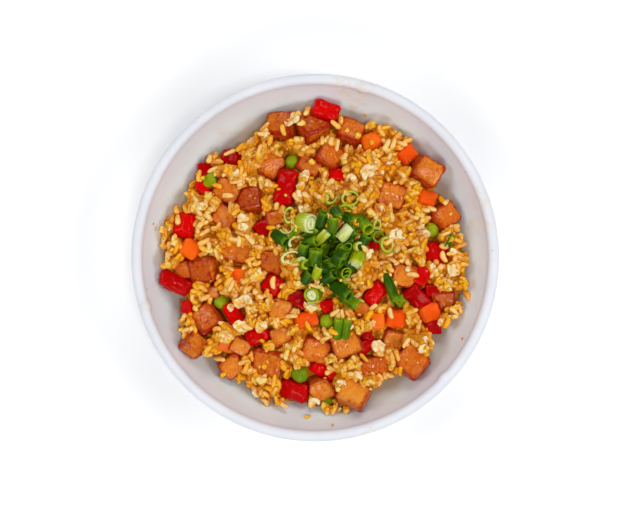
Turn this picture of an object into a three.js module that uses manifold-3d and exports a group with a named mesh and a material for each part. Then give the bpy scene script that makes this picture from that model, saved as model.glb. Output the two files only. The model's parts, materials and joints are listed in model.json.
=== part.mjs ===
// A round white moulded-fibre bowl of fried rice. The rice is one heap with a lumpy, grain-sized relief. Cubes of
// fried luncheon meat, red pepper, carrot and peas are sunk into it, and chopped spring onion lies on the middle.
// Lengths are in millimetres. The bowl stands on z = 0 with its axis on the Z axis.
import * as THREE from 'three';
import { ConvexGeometry } from 'three/addons/geometries/ConvexGeometry.js';
import { mergeVertices } from 'three/addons/utils/BufferGeometryUtils.js';
import Module from 'manifold-3d';

const wasm = await Module();
wasm.setup();

// Bowl.
const RIM_RADIUS = 108;
const BOWL_HEIGHT = 50;
const MOUTH_RADIUS = 101.4;
const FLOOR_RADIUS = 55;
const FLOOR_TOP = 2.6;
const WALL = 1.6;
const WALL_POWER = 2.1;
const CROWN_RISE = 3;
const SKIRT = 2.6;
const FOOT_INNER = 48;
const FOOT_OUTER = 57;
const FOOT_RECESS = 1;
const BOWL_SIDES = 40;
const LUG_RADIUS = 3.5;
const LUG_ANGLES = [74, 196, 317];
const MOUTH_TOP = BOWL_HEIGHT - CROWN_RISE;
const WALL_RISE = MOUTH_TOP - FLOOR_TOP;

// Heap. OUTLINE holds the radius of its edge at equal steps of angle, anticlockwise from +X.
const OUTLINE = [91, 89, 89, 92, 90, 88, 91, 88, 83, 87, 89, 92, 92, 87, 90, 88, 86, 89, 88, 90, 86, 87, 87, 91];
const HEAP_CENTRE = 41;
const EDGE_HEIGHT = 29;
const EDGE_DEPTH = 4;
const DOME_POWER = 3;
const MEAN_RADIUS = 86;
const SHOULDER = 0.96;
const RELIEF_STEP = 5.7;
const RELIEF = 1.0;
const GAP = 0.4;
const BOWL_GAP = 0.9;
const SPREAD = 1.02; // places are read at the rim's level, and the heap lies below it
const GRAIN = [3.7, 1.45, 1.3];
const GRAIN_COUNT = 78;
const MOUND = { middle: [9, 3], length: 30, width: 25, height: 9.5, clear: 1.8, seat: 0.75 };

const GOLDEN_ANGLE = Math.PI * (3 - Math.sqrt(5));
const UP = new THREE.Vector3(0, 0, 1);
const radians = THREE.MathUtils.degToRad;

// A seeded random number from -1 to 1.
function randomSource(seed) {
  let state = seed >>> 0;
  return () => {
    state = (state + 0x6d2b79f5) | 0;
    let t = Math.imul(state ^ (state >>> 15), 1 | state);
    t = (t + Math.imul(t ^ (t >>> 7), 61 | t)) ^ t;
    return (((t ^ (t >>> 14)) >>> 0) / 4294967296) * 2 - 1;
  };
}

function solidOf(geometry, matrix = new THREE.Matrix4()) {
  const bare = new THREE.BufferGeometry().setAttribute('position', geometry.getAttribute('position').clone());
  bare.setIndex(geometry.index);
  const merged = mergeVertices(bare.applyMatrix4(matrix), 1e-3);
  return new wasm.Manifold(new wasm.Mesh({
    numProp: 3,
    vertProperties: merged.attributes.position.array,
    triVerts: new Uint32Array(merged.index.array),
  }));
}

// The largest body of a solid, without the scraps that a cut can leave.
function mainBody(solid) {
  return solid.decompose().reduce((best, body) => (body.volume() > best.volume() ? body : best));
}

// A named mesh whose origin is the middle of its own box.
function meshOf(name, solid, material) {
  const made = solid.getMesh();
  const position = new Float32Array(made.numVert * 3);
  for (let i = 0; i < made.numVert; i++) {
    position.set(made.vertProperties.subarray(i * made.numProp, i * made.numProp + 3), i * 3);
  }
  const geometry = new THREE.BufferGeometry();
  geometry.setAttribute('position', new THREE.BufferAttribute(position, 3));
  geometry.setIndex(new THREE.BufferAttribute(made.triVerts, 1));
  geometry.computeBoundingBox();
  const middle = geometry.boundingBox.getCenter(new THREE.Vector3());
  geometry.translate(-middle.x, -middle.y, -middle.z);
  geometry.computeVertexNormals();
  const mesh = new THREE.Mesh(geometry, material);
  mesh.position.copy(middle);
  mesh.name = name;
  return mesh;
}

// Height of the bowl's inner surface at a radius.
function wallHeight(radius) {
  const share = Math.max(0, radius - FLOOR_RADIUS) / (MOUTH_RADIUS - FLOOR_RADIUS);
  return FLOOR_TOP + WALL_RISE * share ** WALL_POWER;
}

function makeBowl() {
  const inner = [new THREE.Vector2(0, FLOOR_TOP)];
  const outer = [];
  const wallSteps = 7;
  for (let k = 0; k <= wallSteps; k++) {
    const share = (k / wallSteps) ** 0.85;
    const radius = FLOOR_RADIUS + (MOUTH_RADIUS - FLOOR_RADIUS) * share;
    const slope = Math.atan((WALL_POWER * WALL_RISE * share ** (WALL_POWER - 1)) / (MOUTH_RADIUS - FLOOR_RADIUS));
    inner.push(new THREE.Vector2(radius, wallHeight(radius)));
    if (k > 1) {
      outer.push(new THREE.Vector2(radius + WALL * Math.sin(slope), wallHeight(radius) - WALL * Math.cos(slope)));
    }
  }
  const crown = [];
  const crownSteps = 4;
  const crownHalf = (RIM_RADIUS - MOUTH_RADIUS) / 2;
  for (let k = 1; k <= crownSteps; k++) {
    const turn = Math.PI * (1 - k / crownSteps);
    crown.push(new THREE.Vector2(
      MOUTH_RADIUS + crownHalf * (1 + Math.cos(turn)),
      MOUTH_TOP + CROWN_RISE * Math.sin(turn),
    ));
  }
  const under = [
    new THREE.Vector2(RIM_RADIUS, MOUTH_TOP - SKIRT),
    new THREE.Vector2(RIM_RADIUS - WALL, MOUTH_TOP - SKIRT),
    new THREE.Vector2(RIM_RADIUS - WALL, MOUTH_TOP),
  ];
  const foot = [
    new THREE.Vector2(FOOT_OUTER, 0),
    new THREE.Vector2(FOOT_INNER + FOOT_RECESS, 0),
    new THREE.Vector2(FOOT_INNER, FOOT_RECESS),
    new THREE.Vector2(0, FOOT_RECESS),
  ];
  const profile = [...inner, ...crown, ...under, ...outer.reverse(), ...foot].reverse();
  const lathe = new THREE.LatheGeometry(profile, BOWL_SIDES).rotateX(Math.PI / 2);
  let bowl = solidOf(lathe);
  const lug = new THREE.SphereGeometry(LUG_RADIUS, 8, 6);
  for (const angle of LUG_ANGLES) {
    const place = new THREE.Matrix4().makeRotationZ(radians(angle));
    const reach = MOUTH_RADIUS + 1.8;
    place.multiply(new THREE.Matrix4().makeTranslation(reach, 0, BOWL_HEIGHT - LUG_RADIUS + 0.9));
    bowl = bowl.add(solidOf(lug, place));
  }
  return bowl;
}

// Radius of the heap's edge at an angle, through the outline's values on a smooth closed curve.
function outlineRadius(angle) {
  const count = OUTLINE.length;
  const along = THREE.MathUtils.euclideanModulo(angle / (2 * Math.PI), 1) * count;
  const step = Math.floor(along);
  const f = along - step;
  const [a, b, c, d] = [-1, 0, 1, 2].map((k) => OUTLINE[(step + k + count) % count]);
  return b + 0.5 * f * (c - a + f * (2 * a - 5 * b + 4 * c - d + f * (3 * (b - c) + d - a)));
}

// The heap's soft lumps, a centimetre or two across.
function lumps(x, y) {
  return 0.9 * Math.sin(x / 6.1 + 1.3) * Math.sin(y / 7.3 - 0.4) + 0.6 * Math.sin((x + 1.7 * y) / 9.5 + 2.1);
}

function heapHeight(x, y) {
  const edge = outlineRadius(Math.atan2(y, x));
  const share = Math.min(1, Math.hypot(x, y) / edge);
  const low = (wallHeight(edge) + EDGE_DEPTH + EDGE_HEIGHT) / 2;
  return low + (HEAP_CENTRE - low) * (1 - share ** DOME_POWER) + lumps(x, y);
}

// Radius of the mound's edge at an angle, an ellipse about its middle.
function moundRadius(angle) {
  return 1 / Math.hypot(Math.cos(angle) / MOUND.length, Math.sin(angle) / MOUND.width);
}

function moundRise(x, y) {
  const away = Math.hypot((x - MOUND.middle[0]) / MOUND.length, (y - MOUND.middle[1]) / MOUND.width);
  return MOUND.height * Math.max(0, 1 - away ** 2);
}

function heapNormal(x, y) {
  const step = 6;
  const dx = (heapHeight(x + step, y) - heapHeight(x - step, y)) / (2 * step);
  const dy = (heapHeight(x, y + step) - heapHeight(x, y - step)) / (2 * step);
  return new THREE.Vector3(-dx, -dy, 1).normalize();
}

// Joins two rings of points by the shorter way round. A ring is a list of [index, angle].
function stitch(from, to, faces) {
  const turn = 2 * Math.PI;
  const angleAt = (ring, k) => ring[k % ring.length][1] + turn * Math.floor(k / ring.length);
  let i = 0;
  let j = 0;
  while (i < from.length || j < to.length) {
    const a = from[i % from.length][0];
    const b = to[j % to.length][0];
    if (j >= to.length || (i < from.length && angleAt(from, i + 1) < angleAt(to, j + 1))) {
      if (from.length > 1) faces.push(a, b, from[(i + 1) % from.length][0]);
      i++;
    } else {
      if (to.length > 1) faces.push(a, b, to[(j + 1) % to.length][0]);
      j++;
    }
  }
}

// A closed skin over rings of points. A row is a ring's share of the edge's radius, its number of points and the
// height at a point.
function skin(rows, radiusAt, [middleX, middleY]) {
  const points = [];
  const faces = [];
  const rings = rows.map(([share, count, heightAt], row) => {
    const ring = [];
    for (let k = 0; k < count; k++) {
      const angle = (2 * Math.PI * (k + ((row * GOLDEN_ANGLE) % 1))) / count;
      const radius = share * radiusAt(angle);
      const [x, y] = [middleX + radius * Math.cos(angle), middleY + radius * Math.sin(angle)];
      ring.push([points.length / 3, angle]);
      points.push(x, y, heightAt(x, y));
    }
    return ring;
  });
  for (let k = 1; k < rings.length; k++) stitch(rings[k - 1], rings[k], faces);
  const geometry = new THREE.BufferGeometry();
  geometry.setAttribute('position', new THREE.Float32BufferAttribute(points, 3));
  geometry.setIndex(faces);
  return solidOf(geometry);
}

// The heap without its toppings: over the dome, down its edge and back along the bowl.
function makeHeapCore() {
  const random = randomSource(11);
  const onBowl = (x, y) => wallHeight(Math.hypot(x, y)) + BOWL_GAP;
  const top = (x, y) => heapHeight(x, y) + RELIEF * random();
  const half = (x, y) => (heapHeight(x, y) + onBowl(x, y)) / 2 + 0.5 * RELIEF * random();
  const steps = Math.round((SHOULDER * MEAN_RADIUS) / RELIEF_STEP);
  const rows = [];
  for (let k = 0; k <= steps; k++) rows.push([(SHOULDER * k) / steps, Math.max(1, Math.round(2 * Math.PI * k)), top]);
  const edgeCount = rows.at(-1)[1];
  rows.push([1, edgeCount, half], [0.985, edgeCount, onBowl]);
  rows.push([0.7, 36, onBowl], [0.35, 12, onBowl], [0, 1, onBowl]);
  return skin(rows, outlineRadius, [0, 0]);
}

// The mound under the spring onion.
function makeMound() {
  const under = (x, y) => heapHeight(x, y) + MOUND.clear;
  const over = (x, y) => under(x, y) + moundRise(x, y);
  const rows = [[0, 1, over], [0.4, 7, over], [0.75, 13, over], [1, 18, under], [0.5, 7, under], [0, 1, under]];
  return skin(rows, moundRadius, MOUND.middle);
}

// A cut chunk: a block whose eight corners are each a little out of true. Its edges are taken off, and a crown
// bulges its upper face. A chunk that is grown keeps its edges, and is what the chunk needs as room.
function chunk({ size, bevel, warp, crown = 0 }, grow = 0) {
  const points = [];
  const half = size.map((s) => s / 2 + grow);
  for (let k = 0; k < 8; k++) {
    const side = [k & 1 ? 1 : -1, k & 2 ? 1 : -1, k & 4 ? 1 : -1];
    const corner = half.map((h, axis) => side[axis] * h * (1 + warp[k][axis]));
    if (grow > 0) {
      points.push(new THREE.Vector3(...corner));
      continue;
    }
    for (let axis = 0; axis < 3; axis++) {
      const cut = corner.map((c, other) => (other === axis ? c : c - side[other] * bevel));
      points.push(new THREE.Vector3(...cut));
    }
  }
  if (crown > 0) {
    for (const side of [-1, 1]) points.push(new THREE.Vector3((side * half[0]) / 2, 0, half[2] + crown));
  }
  return new ConvexGeometry(points);
}

function pea({ size }, grow = 0) {
  const ball = new THREE.IcosahedronGeometry(size[0] / 2 + grow, grow > 0 ? 0 : 1);
  return ball.scale(1, 1, size[2] / size[0]).scale(...(grow > 0 ? [1.2, 1.2, 1.2] : [1, 1, 1]));
}

// A short length of spring onion: a tube, or a solid stem where the wall is the whole radius.
function stalk({ radius, length, wall }) {
  const hole = Math.max(0, radius - wall);
  const h = length / 2;
  const ends = [new THREE.Vector2(radius, -h), new THREE.Vector2(radius, h)];
  const profile = [new THREE.Vector2(hole, -h), ...ends, new THREE.Vector2(hole, h)];
  if (hole > 0) profile.push(profile[0].clone());
  return new THREE.LatheGeometry(profile, 8).rotateX(Math.PI / 2);
}

// Where a topping lies: on the heap's slope, turned by yaw, tipped away from the middle, its top above the rice by
// stand, and lifted until it clears the bowl.
function seat(geometry, { x, y, height, yaw, stand, tip = 0, wobble = [0, 0] }) {
  const up = heapNormal(x * SPREAD, y * SPREAD);
  const away = new THREE.Vector3(x, y, 0).normalize();
  const turn = new THREE.Quaternion()
    .setFromAxisAngle(new THREE.Vector3().crossVectors(UP, away), radians(tip))
    .multiply(new THREE.Quaternion().setFromUnitVectors(UP, up))
    .multiply(new THREE.Quaternion().setFromEuler(new THREE.Euler(radians(wobble[0]), radians(wobble[1]), 0)))
    .multiply(new THREE.Quaternion().setFromAxisAngle(UP, radians(yaw)));
  const place = new THREE.Vector3(x * SPREAD, y * SPREAD, heapHeight(x * SPREAD, y * SPREAD));
  place.addScaledVector(up, stand - height / 2);
  const matrix = new THREE.Matrix4().compose(place, turn, new THREE.Vector3(1, 1, 1));
  const vertex = new THREE.Vector3();
  const position = geometry.getAttribute('position');
  let lift = 0;
  for (let i = 0; i < position.count; i++) {
    vertex.fromBufferAttribute(position, i).applyMatrix4(matrix);
    lift = Math.max(lift, wallHeight(Math.hypot(vertex.x, vertex.y)) + BOWL_GAP - vertex.z);
  }
  return matrix.premultiply(new THREE.Matrix4().makeTranslation(0, 0, lift));
}

// Toppings with a node each. A row is x, y, length, width, height, yaw, stand and tip.
const MEAT = [
  [-20, 77, 16, 15, 13, -5, 5, 16],
  [-2, 76, 17, 16, 14, 32, 6, 12],
  [21, 73, 15, 14, 13, -25, 5, 12],
  [8, 59, 14, 13, 12, -32, 6, 8],
  [-4, 54, 15, 11, 11, -35, 3, 0],
  [65, 50, 16, 15, 13, -30, 6, 8],
  [45, 37, 17, 15, 12, -15, 2, 0],
  [76, 24, 15, 14, 13, 35, 5, 6],
  [-26, 54, 16, 14, 12, 60, 3, 0],
  [-52, 39, 15, 13, 12, -28, 4, 0],
  [-38, 33, 15, 14, 13, 8, 5, 6],
  [-52, 23, 15, 12, 11, -38, 5, -8],
  [-46, 3, 17, 11, 11, -10, 3, 4],
  [-26, -3, 15, 14, 12, -4, 4, 0],
  [-65, -7, 16, 15, 13, 8, 5, 0],
  [-63, -36, 15, 15, 13, 35, 5, 0],
  [-71, -51, 13, 12, 11, -32, 4, -58],
  [-49, -64, 13, 12, 11, 38, 4, 0],
  [-28, -62, 18, 16, 13, -10, 5, 0],
  [-20, -46, 13, 12, 11, 25, 1, 0],
  [-20, -30, 13, 13, 12, -20, 4, 0],
  [0, -54, 16, 14, 13, -18, 5, 0],
  [18, -50, 17, 16, 13, 22, 5, -8],
  [46, -49, 13, 12, 11, -18, 2, 0],
  [57, -61, 17, 16, 13, -43, 5, -28],
  [35, -64, 18, 12, 12, 10, 3, -12],
  [23, -80, 17, 15, 13, -25, 4, -40],
  [4, -77, 14, 14, 12, 30, 4, 0],
  [51, -10, 15, 13, 12, -10, 4, 0],
  [27, -28, 13, 12, 11, 25, 3, 0],
  [75, -25, 15, 11, 11, 3, 2, 0],
];
const PEPPER = [
  [6, 86, 15, 10, 7, -20, 5, 10],
  [-17, 41, 21, 11, 7, 80, 4, 0],
  [-50, 60, 11, 8, 7, -20, 2, 0],
  [-76, 19, 14, 12, 8, 80, 4, 0],
  [-82, -15, 20, 10, 7, -25, 3, -20],
  [-25, -16, 11, 10, 8, 60, 4, 0],
  [-34, -46, 14, 9, 7, 25, 3, 0],
  [35, -21, 14, 9, 7, 50, 3, 0],
  [71, 3, 13, 11, 8, -5, 5, 0],
  [59, -23, 16, 11, 7, -45, 4, 0],
  [-12, -78, 17, 12, 9, -12, 4, 0],
  [30, -52, 14, 8, 7, 35, 1, 0],
  [4, -66, 15, 8, 7, -30, 2, 0],
];
const CARROT = [
  [33, 68, 12, 10, 9, 30, 4, 0],
  [54, 60, 11, 10, 9, 40, 4, 0],
  [66, 35, 11, 9, 9, -15, 3, 0],
  [-73, 5, 11, 11, 10, -30, 4, 0],
  [-5, -36, 13, 9, 9, 15, 4, 0],
  [47, -35, 11, 11, 10, -5, 4, 0],
  [67, -32, 12, 11, 10, 20, 4, 0],
];
// Peas. A row is x, y and diameter.
const PEAS = [
  [-13, 56, 8.6],
  [68, 16, 9],
  [-55, -26, 8.8],
  [7, -37, 9.4],
  [-9, -68, 10.2],
];
// Smaller toppings, half sunk, that are one with the heap. A row is as a topping's.
const SUNK = [
  [-77, -7, 11, 10, 9, 15, 2, 0],
  [-24, 22, 11, 9, 9, 10, 2, 0],
  [-44, -51, 12, 10, 9, -30, 1, 0],
  [-65, 52, 8, 8, 7, 10, 2, 0],
  [-66, 41, 10, 6, 6, -50, 2, 0],
  [-75, -29, 8, 8, 7, 0, 3, 0],
  [-30, 17, 10, 9, 7, 35, 3, 0],
  [-47, -33, 14, 8, 6, -70, 2, 0],
  [-9, -24, 12, 8, 6, -35, 2, 0],
  [7, -28, 9, 7, 6, 20, 2, 0],
  [62, -10, 11, 9, 6, 60, 2, 0],
  [69, -41, 9, 8, 7, 5, 3, 0],
  [-45, -10, 9, 8, 8, -10, 2, 0],
  [36, -36, 9, 10, 8, 0, 2, 0],
];
// Chopped spring onion. A row is x, y, radius, length, wall, yaw and pitch; pitch 90 stands the tube on its end.
const ONION = [
  [-15, 27, 4.2, 3.5, 1.0, 0, 70],
  [-6, 20, 5.2, 8, 5.2, -10, 25],
  [-19, 11, 3.3, 8.5, 1.0, -35, 10],
  [-7, 3, 3.2, 8, 1.0, 75, 12],
  [0, 1, 3.5, 9, 1.0, 84, 15],
  [-2, 10, 3.2, 6, 1.0, 5, 8],
  [5, 23, 3.1, 7, 1.0, 70, 12],
  [11, 18, 3.0, 8, 1.0, 85, 18],
  [17, 14, 3.2, 10, 3.2, 50, 10],
  [27, 19, 3.3, 9, 1.0, -50, 20],
  [37, 9, 4.4, 3.2, 1.0, 20, 60],
  [25, 9, 3.1, 6, 1.0, 20, 15],
  [24, -1, 4.0, 8, 1.1, 82, 25],
  [14, 1, 3.8, 6.5, 1.0, -30, 20],
  [6, -6, 3.3, 7, 1.0, 30, 20],
  [-3, -10, 3.2, 7, 1.0, 55, 12],
  [-2, -20, 4.8, 5, 4.8, 0, 75],
  [16, -18, 3.5, 12, 1.0, -40, 12],
];
const STRAY_ONION = { x: 15.8, y: -41, radius: 4.2, length: 10, wall: 1.1, yaw: 82, pitch: 12 };

const looks = {
  bowl: new THREE.MeshStandardMaterial({ color: 0xf0eef0, roughness: 0.55 }),
  rice: new THREE.MeshStandardMaterial({ color: 0xdca64a, roughness: 0.5 }),
  meat: new THREE.MeshStandardMaterial({ color: 0xc76a2b, roughness: 0.45 }),
  pepper: new THREE.MeshStandardMaterial({ color: 0xc30d08, roughness: 0.25 }),
  carrot: new THREE.MeshStandardMaterial({ color: 0xee6a14, roughness: 0.4 }),
  pea: new THREE.MeshStandardMaterial({ color: 0x6e9c14, roughness: 0.35 }),
  onion: new THREE.MeshStandardMaterial({ color: 0x5f9418, roughness: 0.4 }),
};

const random = randomSource(7);

// A topping's solid and the room that it needs in its neighbours.
function topping(name, look, shape, spec, place) {
  const body = shape(spec);
  const matrix = seat(body, place);
  return { name, look, solid: solidOf(body, matrix), room: solidOf(shape(spec, GAP), matrix) };
}

function block([x, y, length, width, height, yaw, stand, tip], { bevel, warp, crown, lean }, name, look) {
  const corners = Array.from({ length: 8 }, () => [0, 1, 2].map(() => warp * random()));
  const spec = { size: [length, width, height], bevel, warp: corners, crown };
  const wobble = [lean * random(), lean * random()];
  return topping(name, look, chunk, spec, { x, y, height, yaw, stand, tip, wobble });
}

function blocks(kind, rows, form) {
  return rows.map((row, k) => block(row, form, `${kind}_${k + 1}`, kind));
}

function stalkMatrix({ x, y, height, yaw, pitch }) {
  const turn = new THREE.Quaternion().setFromEuler(
    new THREE.Euler(0, radians(90 - pitch), radians(yaw), 'ZYX'),
  );
  return new THREE.Matrix4().compose(new THREE.Vector3(x, y, height), turn, new THREE.Vector3(1, 1, 1));
}

// A length of spring onion in its place, and as the room that it needs where it is grown.
function stalkSolid(spec, grow = 0) {
  const { radius, length, wall } = spec;
  const body = stalk({ radius: radius + grow, length: length + 2 * grow, wall: grow > 0 ? radius + grow : wall });
  return solidOf(body, stalkMatrix(spec));
}

const toppings = [
  ...PEAS.map(([x, y, across], k) => topping(
    `pea_${k + 1}`,
    'pea',
    pea,
    { size: [across, across, 0.93 * across] },
    { x, y, height: across, yaw: 40 * k, stand: 0.55 * across },
  )),
  ...blocks('carrot', CARROT, { bevel: 1.5, warp: 0.06, lean: 9 }),
  ...blocks('pepper', PEPPER, { bevel: 1.4, warp: 0.08, crown: 0.9, lean: 10 }),
  ...blocks('meat', MEAT, { bevel: 1.1, warp: 0.07, lean: 9 }),
];
const strayHeight = heapHeight(STRAY_ONION.x, STRAY_ONION.y) + STRAY_ONION.radius + 2;
const strayPlace = { ...STRAY_ONION, height: strayHeight };
const rooms = toppings.map((piece) => piece.room);

// Where two toppings would meet, the later one gives way.
toppings.forEach((piece, k) => {
  for (const earlier of rooms.slice(0, k)) {
    if (piece.solid.intersect(earlier).volume() > 0) piece.solid = mainBody(piece.solid.subtract(earlier));
  }
});

// Whether something smaller would be hidden there, by a topping or by the spring onion.
function covered(x, y) {
  const rows = [...MEAT, ...PEPPER, ...CARROT, ...PEAS, ...SUNK];
  return moundRise(0.9 * x, 0.9 * y) > 0 || rows.some((row) => Math.hypot(x - row[0], y - row[1]) < 0.5 * row[2] + 2);
}

let heap = makeHeapCore();
const grain = new THREE.SphereGeometry(1, 6, 3).rotateZ(Math.PI / 2);
for (let k = 0; k < GRAIN_COUNT; k++) {
  const radius = SHOULDER * MEAN_RADIUS * Math.sqrt((k + 0.5) / GRAIN_COUNT);
  const angle = k * GOLDEN_ANGLE;
  const [x, y] = [radius * Math.cos(angle), radius * Math.sin(angle)];
  if (covered(x, y)) continue;
  const lie = new THREE.Euler(0.2 * random(), 0.3 * random(), Math.PI * random(), 'ZYX');
  const turn = new THREE.Quaternion().setFromUnitVectors(UP, heapNormal(x, y));
  turn.multiply(new THREE.Quaternion().setFromEuler(lie));
  const place = new THREE.Vector3(x, y, heapHeight(x, y) + 0.9);
  heap = heap.add(solidOf(grain, new THREE.Matrix4().compose(place, turn, new THREE.Vector3(...GRAIN))));
}
const sunk = SUNK.map((row) => block(row, { bevel: 1.2, warp: 0.07, lean: 9 }));
for (const { solid } of sunk) heap = heap.add(solid);
for (const room of rooms) heap = heap.subtract(room);
heap = mainBody(heap.subtract(stalkSolid(strayPlace, GAP)));

// The chopped lengths lie on the mound, clear of the heap's relief.
let onion = makeMound();
for (const [x, y, radius, length, wall, yaw, pitch] of ONION) {
  const low = Math.sin(radians(pitch)) * (length / 2) + Math.cos(radians(pitch)) * radius;
  const height = heapHeight(x, y) + MOUND.clear + MOUND.seat * moundRise(x, y) + low;
  onion = onion.add(stalkSolid({ x, y, height, radius, length, wall, yaw, pitch }));
}
let stray = stalkSolid(strayPlace);
for (const room of [...rooms, ...sunk.map((piece) => piece.room)]) {
  onion = onion.subtract(room);
  stray = stray.subtract(room);
}

const plate = new THREE.Group();
plate.add(meshOf('bowl', makeBowl(), looks.bowl));
plate.add(meshOf('rice_heap', heap, looks.rice));
plate.add(meshOf('spring_onion_heap', mainBody(onion), looks.onion));
plate.add(meshOf('spring_onion_stray', mainBody(stray), looks.onion));
for (const { name, look, solid } of toppings) plate.add(meshOf(name, solid, looks[look]));

export default plate;
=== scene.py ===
"""A round white bowl of pressed fibre, heaped with fried rice and what was fried with it.

The luncheon meat, pepper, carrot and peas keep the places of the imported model. Rice, egg and spring onion
are laid on them one by one, each on what already lies there. Sizes are in millimetres until a mesh is made.
"""
import json
import math
from collections import namedtuple

import bpy
import numpy as np
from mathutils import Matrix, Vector
from mathutils.bvhtree import BVHTree

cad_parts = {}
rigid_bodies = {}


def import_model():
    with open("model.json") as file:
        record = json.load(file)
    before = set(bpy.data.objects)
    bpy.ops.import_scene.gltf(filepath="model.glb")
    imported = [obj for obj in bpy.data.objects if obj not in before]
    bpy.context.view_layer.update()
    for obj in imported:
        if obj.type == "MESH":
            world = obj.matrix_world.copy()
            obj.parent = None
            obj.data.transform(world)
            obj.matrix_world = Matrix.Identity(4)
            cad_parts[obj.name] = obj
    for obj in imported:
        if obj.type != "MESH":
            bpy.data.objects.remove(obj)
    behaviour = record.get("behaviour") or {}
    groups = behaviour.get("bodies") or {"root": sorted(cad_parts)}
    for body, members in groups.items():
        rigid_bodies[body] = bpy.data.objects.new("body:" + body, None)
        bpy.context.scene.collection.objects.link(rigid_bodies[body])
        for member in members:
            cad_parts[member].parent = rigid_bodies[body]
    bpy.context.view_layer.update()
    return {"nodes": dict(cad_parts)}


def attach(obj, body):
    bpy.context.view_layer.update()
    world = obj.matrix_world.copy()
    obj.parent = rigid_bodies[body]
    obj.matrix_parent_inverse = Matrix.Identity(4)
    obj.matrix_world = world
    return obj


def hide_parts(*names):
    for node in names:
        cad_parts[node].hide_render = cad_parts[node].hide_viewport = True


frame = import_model()

MM = 0.001

# Photograph: the bowl's place in it, in pixels.
IMAGE_WIDTH, IMAGE_HEIGHT = 640, 512
BOWL_PIXEL_X, BOWL_PIXEL_Y = 315.2, 257.6
BOWL_PIXELS_ACROSS = 369.5
CAMERA_ABOVE_RIM = 610

# Bowl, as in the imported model.
RIM_RADIUS = 108
BOWL_HEIGHT = 50
MOUTH_RADIUS = 101.4
FLOOR_RADIUS = 55
FLOOR_TOP = 2.6
WALL = 1.6
WALL_POWER = 2.1
CROWN_RISE = 3
SKIRT = 2.6
FOOT_INNER = 48
FOOT_OUTER = 57
FOOT_RECESS = 1
LUG_ANGLES = (74, 196, 317)
LUG_RADIUS, LUG_HEIGHT = 102.6, 49
LUG_REACH, LUG_PUSH = 4.6, 1.5
MOUTH_TOP = BOWL_HEIGHT - CROWN_RISE
BOWL_SEGMENTS = 400
BOWL_UNEVEN = 0.12
FOOT_HEIGHT = 6
NEAR_FOOD_HEIGHT = 30

# Heap of rice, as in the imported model.
OUTLINE = (91, 89, 89, 92, 90, 88, 91, 88, 83, 87, 89, 92, 92, 87, 90, 88, 86, 89, 88, 90, 86, 87, 87, 91)
# How far the loose grains reach past that edge, at equal steps of angle.
RAGGED_REACH = (
    0.1, -2.6, -3.1, -1.8, -5.2, 0.8, -3.9, -2.2, 0.1, -1.6, -3.3, 3.0, -0.2, -2.4, 1.4, -2.6,
    -3.0, -2.4, 0.0, -0.6, -2.3, -6.5, 1.3, -0.1, -2.7, 1.0, -3.4, -3.3, 1.4, 1.8, -6.5, 5.0,
    -2.0, 3.0, 2.7, -0.5, 2.5, 5.0, 1.4, 0.9, -2.6, -0.5, 2.1, 0.1, -1.6, 1.3, 5.0, -2.9,
)
HEAP_CENTRE = 41
EDGE_HEIGHT = 29
EDGE_DEPTH = 4
DOME_POWER = 3
SPREAD = 1.02
MOUND_MIDDLE = (9, 3)
MOUND_LENGTH, MOUND_WIDTH = 30, 25
MOUND_HEIGHT = 6.5

# Grid of heights over the bowl, on which everything loose is laid.
GRID_STEP = 0.5
GRID_HALF = 104

# Bed of rice and egg that the loose grains lie in. Its reach is the number of cells that its height is evened
# over to each side, and its sink is how far it lies below the grains.
BED_DEPTH = 5
BED_REACH = 3
BED_SINK = 0.9
BED_STEP = 0.8
BED_SEGMENTS = 480
BED_ABOVE_BOWL = 0.4
BED_INSET = 0.5
# Shares of the way out: where the bed's top comes down to the bowl, and its rings below.
BED_BLEND = 0.975
BED_UNDERSIDE = (0.985, 0.8, 0.5, 0.2)

# Loose things.
GRAIN_COUNT = 1550
GRAIN_HALF_LENGTH, GRAIN_RADIUS = 3.8, 1.7
# Grains are drawn between these shares of that length and radius. Some of them are broken and shorter.
GRAIN_LENGTHS, GRAIN_WIDTHS = (0.78, 1.14), (0.84, 1.14)
BROKEN_SHARE, BROKEN_LENGTH = 0.14, 0.6
STEEPEST_GRAIN = 0.75
# Bend and taper of each shape of grain.
GRAIN_SHAPES = ((0.1, 0.05), (0.3, -0.08), (-0.25, 0.1), (0.5, 0.0))
CRUMB_COUNT = 650
CRUMB_SHAPES = 6
# Radii of crumbs start at the smallest. The power makes small ones more common.
CRUMB_SMALLEST, CRUMB_RANGE, CRUMB_POWER = 0.45, 1.1, 2.2
CURD_COUNT = 200
CURD_SIZES = ((1.4, 3.2), (1.2, 2.2), (1.0, 1.5))
CURD_SEGMENTS = 12
# A hollow is judged against the highest thing within so many cells of the grid.
HOLLOW_REACH = 4
# Height of the clumps that the grains lie in.
CLUMP_HEIGHT = 1.3

TURN = 2 * math.pi


def linear(red, green, blue):
    """A colour as it is read off a screen, from 0 to 255, made the linear light that a material takes."""
    shares = [part / 255 for part in (red, green, blue)]
    return (*(s / 12.92 if s <= 0.04045 else ((s + 0.055) / 1.055) ** 2.4 for s in shares), 1)


# Meshes.

def waves(points, size, seed, count=14):
    """Smooth bumps of about unit height and the size asked for, from sine waves in seeded directions."""
    draw = np.random.default_rng(seed)
    directions = draw.normal(size=(count, points.shape[1]))
    directions /= np.linalg.norm(directions, axis=1)[:, None]
    lengths = size * draw.uniform(0.7, 1.5, count)
    phases = draw.uniform(0, TURN, count)
    turns = points @ (directions * (math.pi / lengths)[:, None]).T + phases
    return np.sin(turns).sum(axis=1) / math.sqrt(count)


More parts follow.
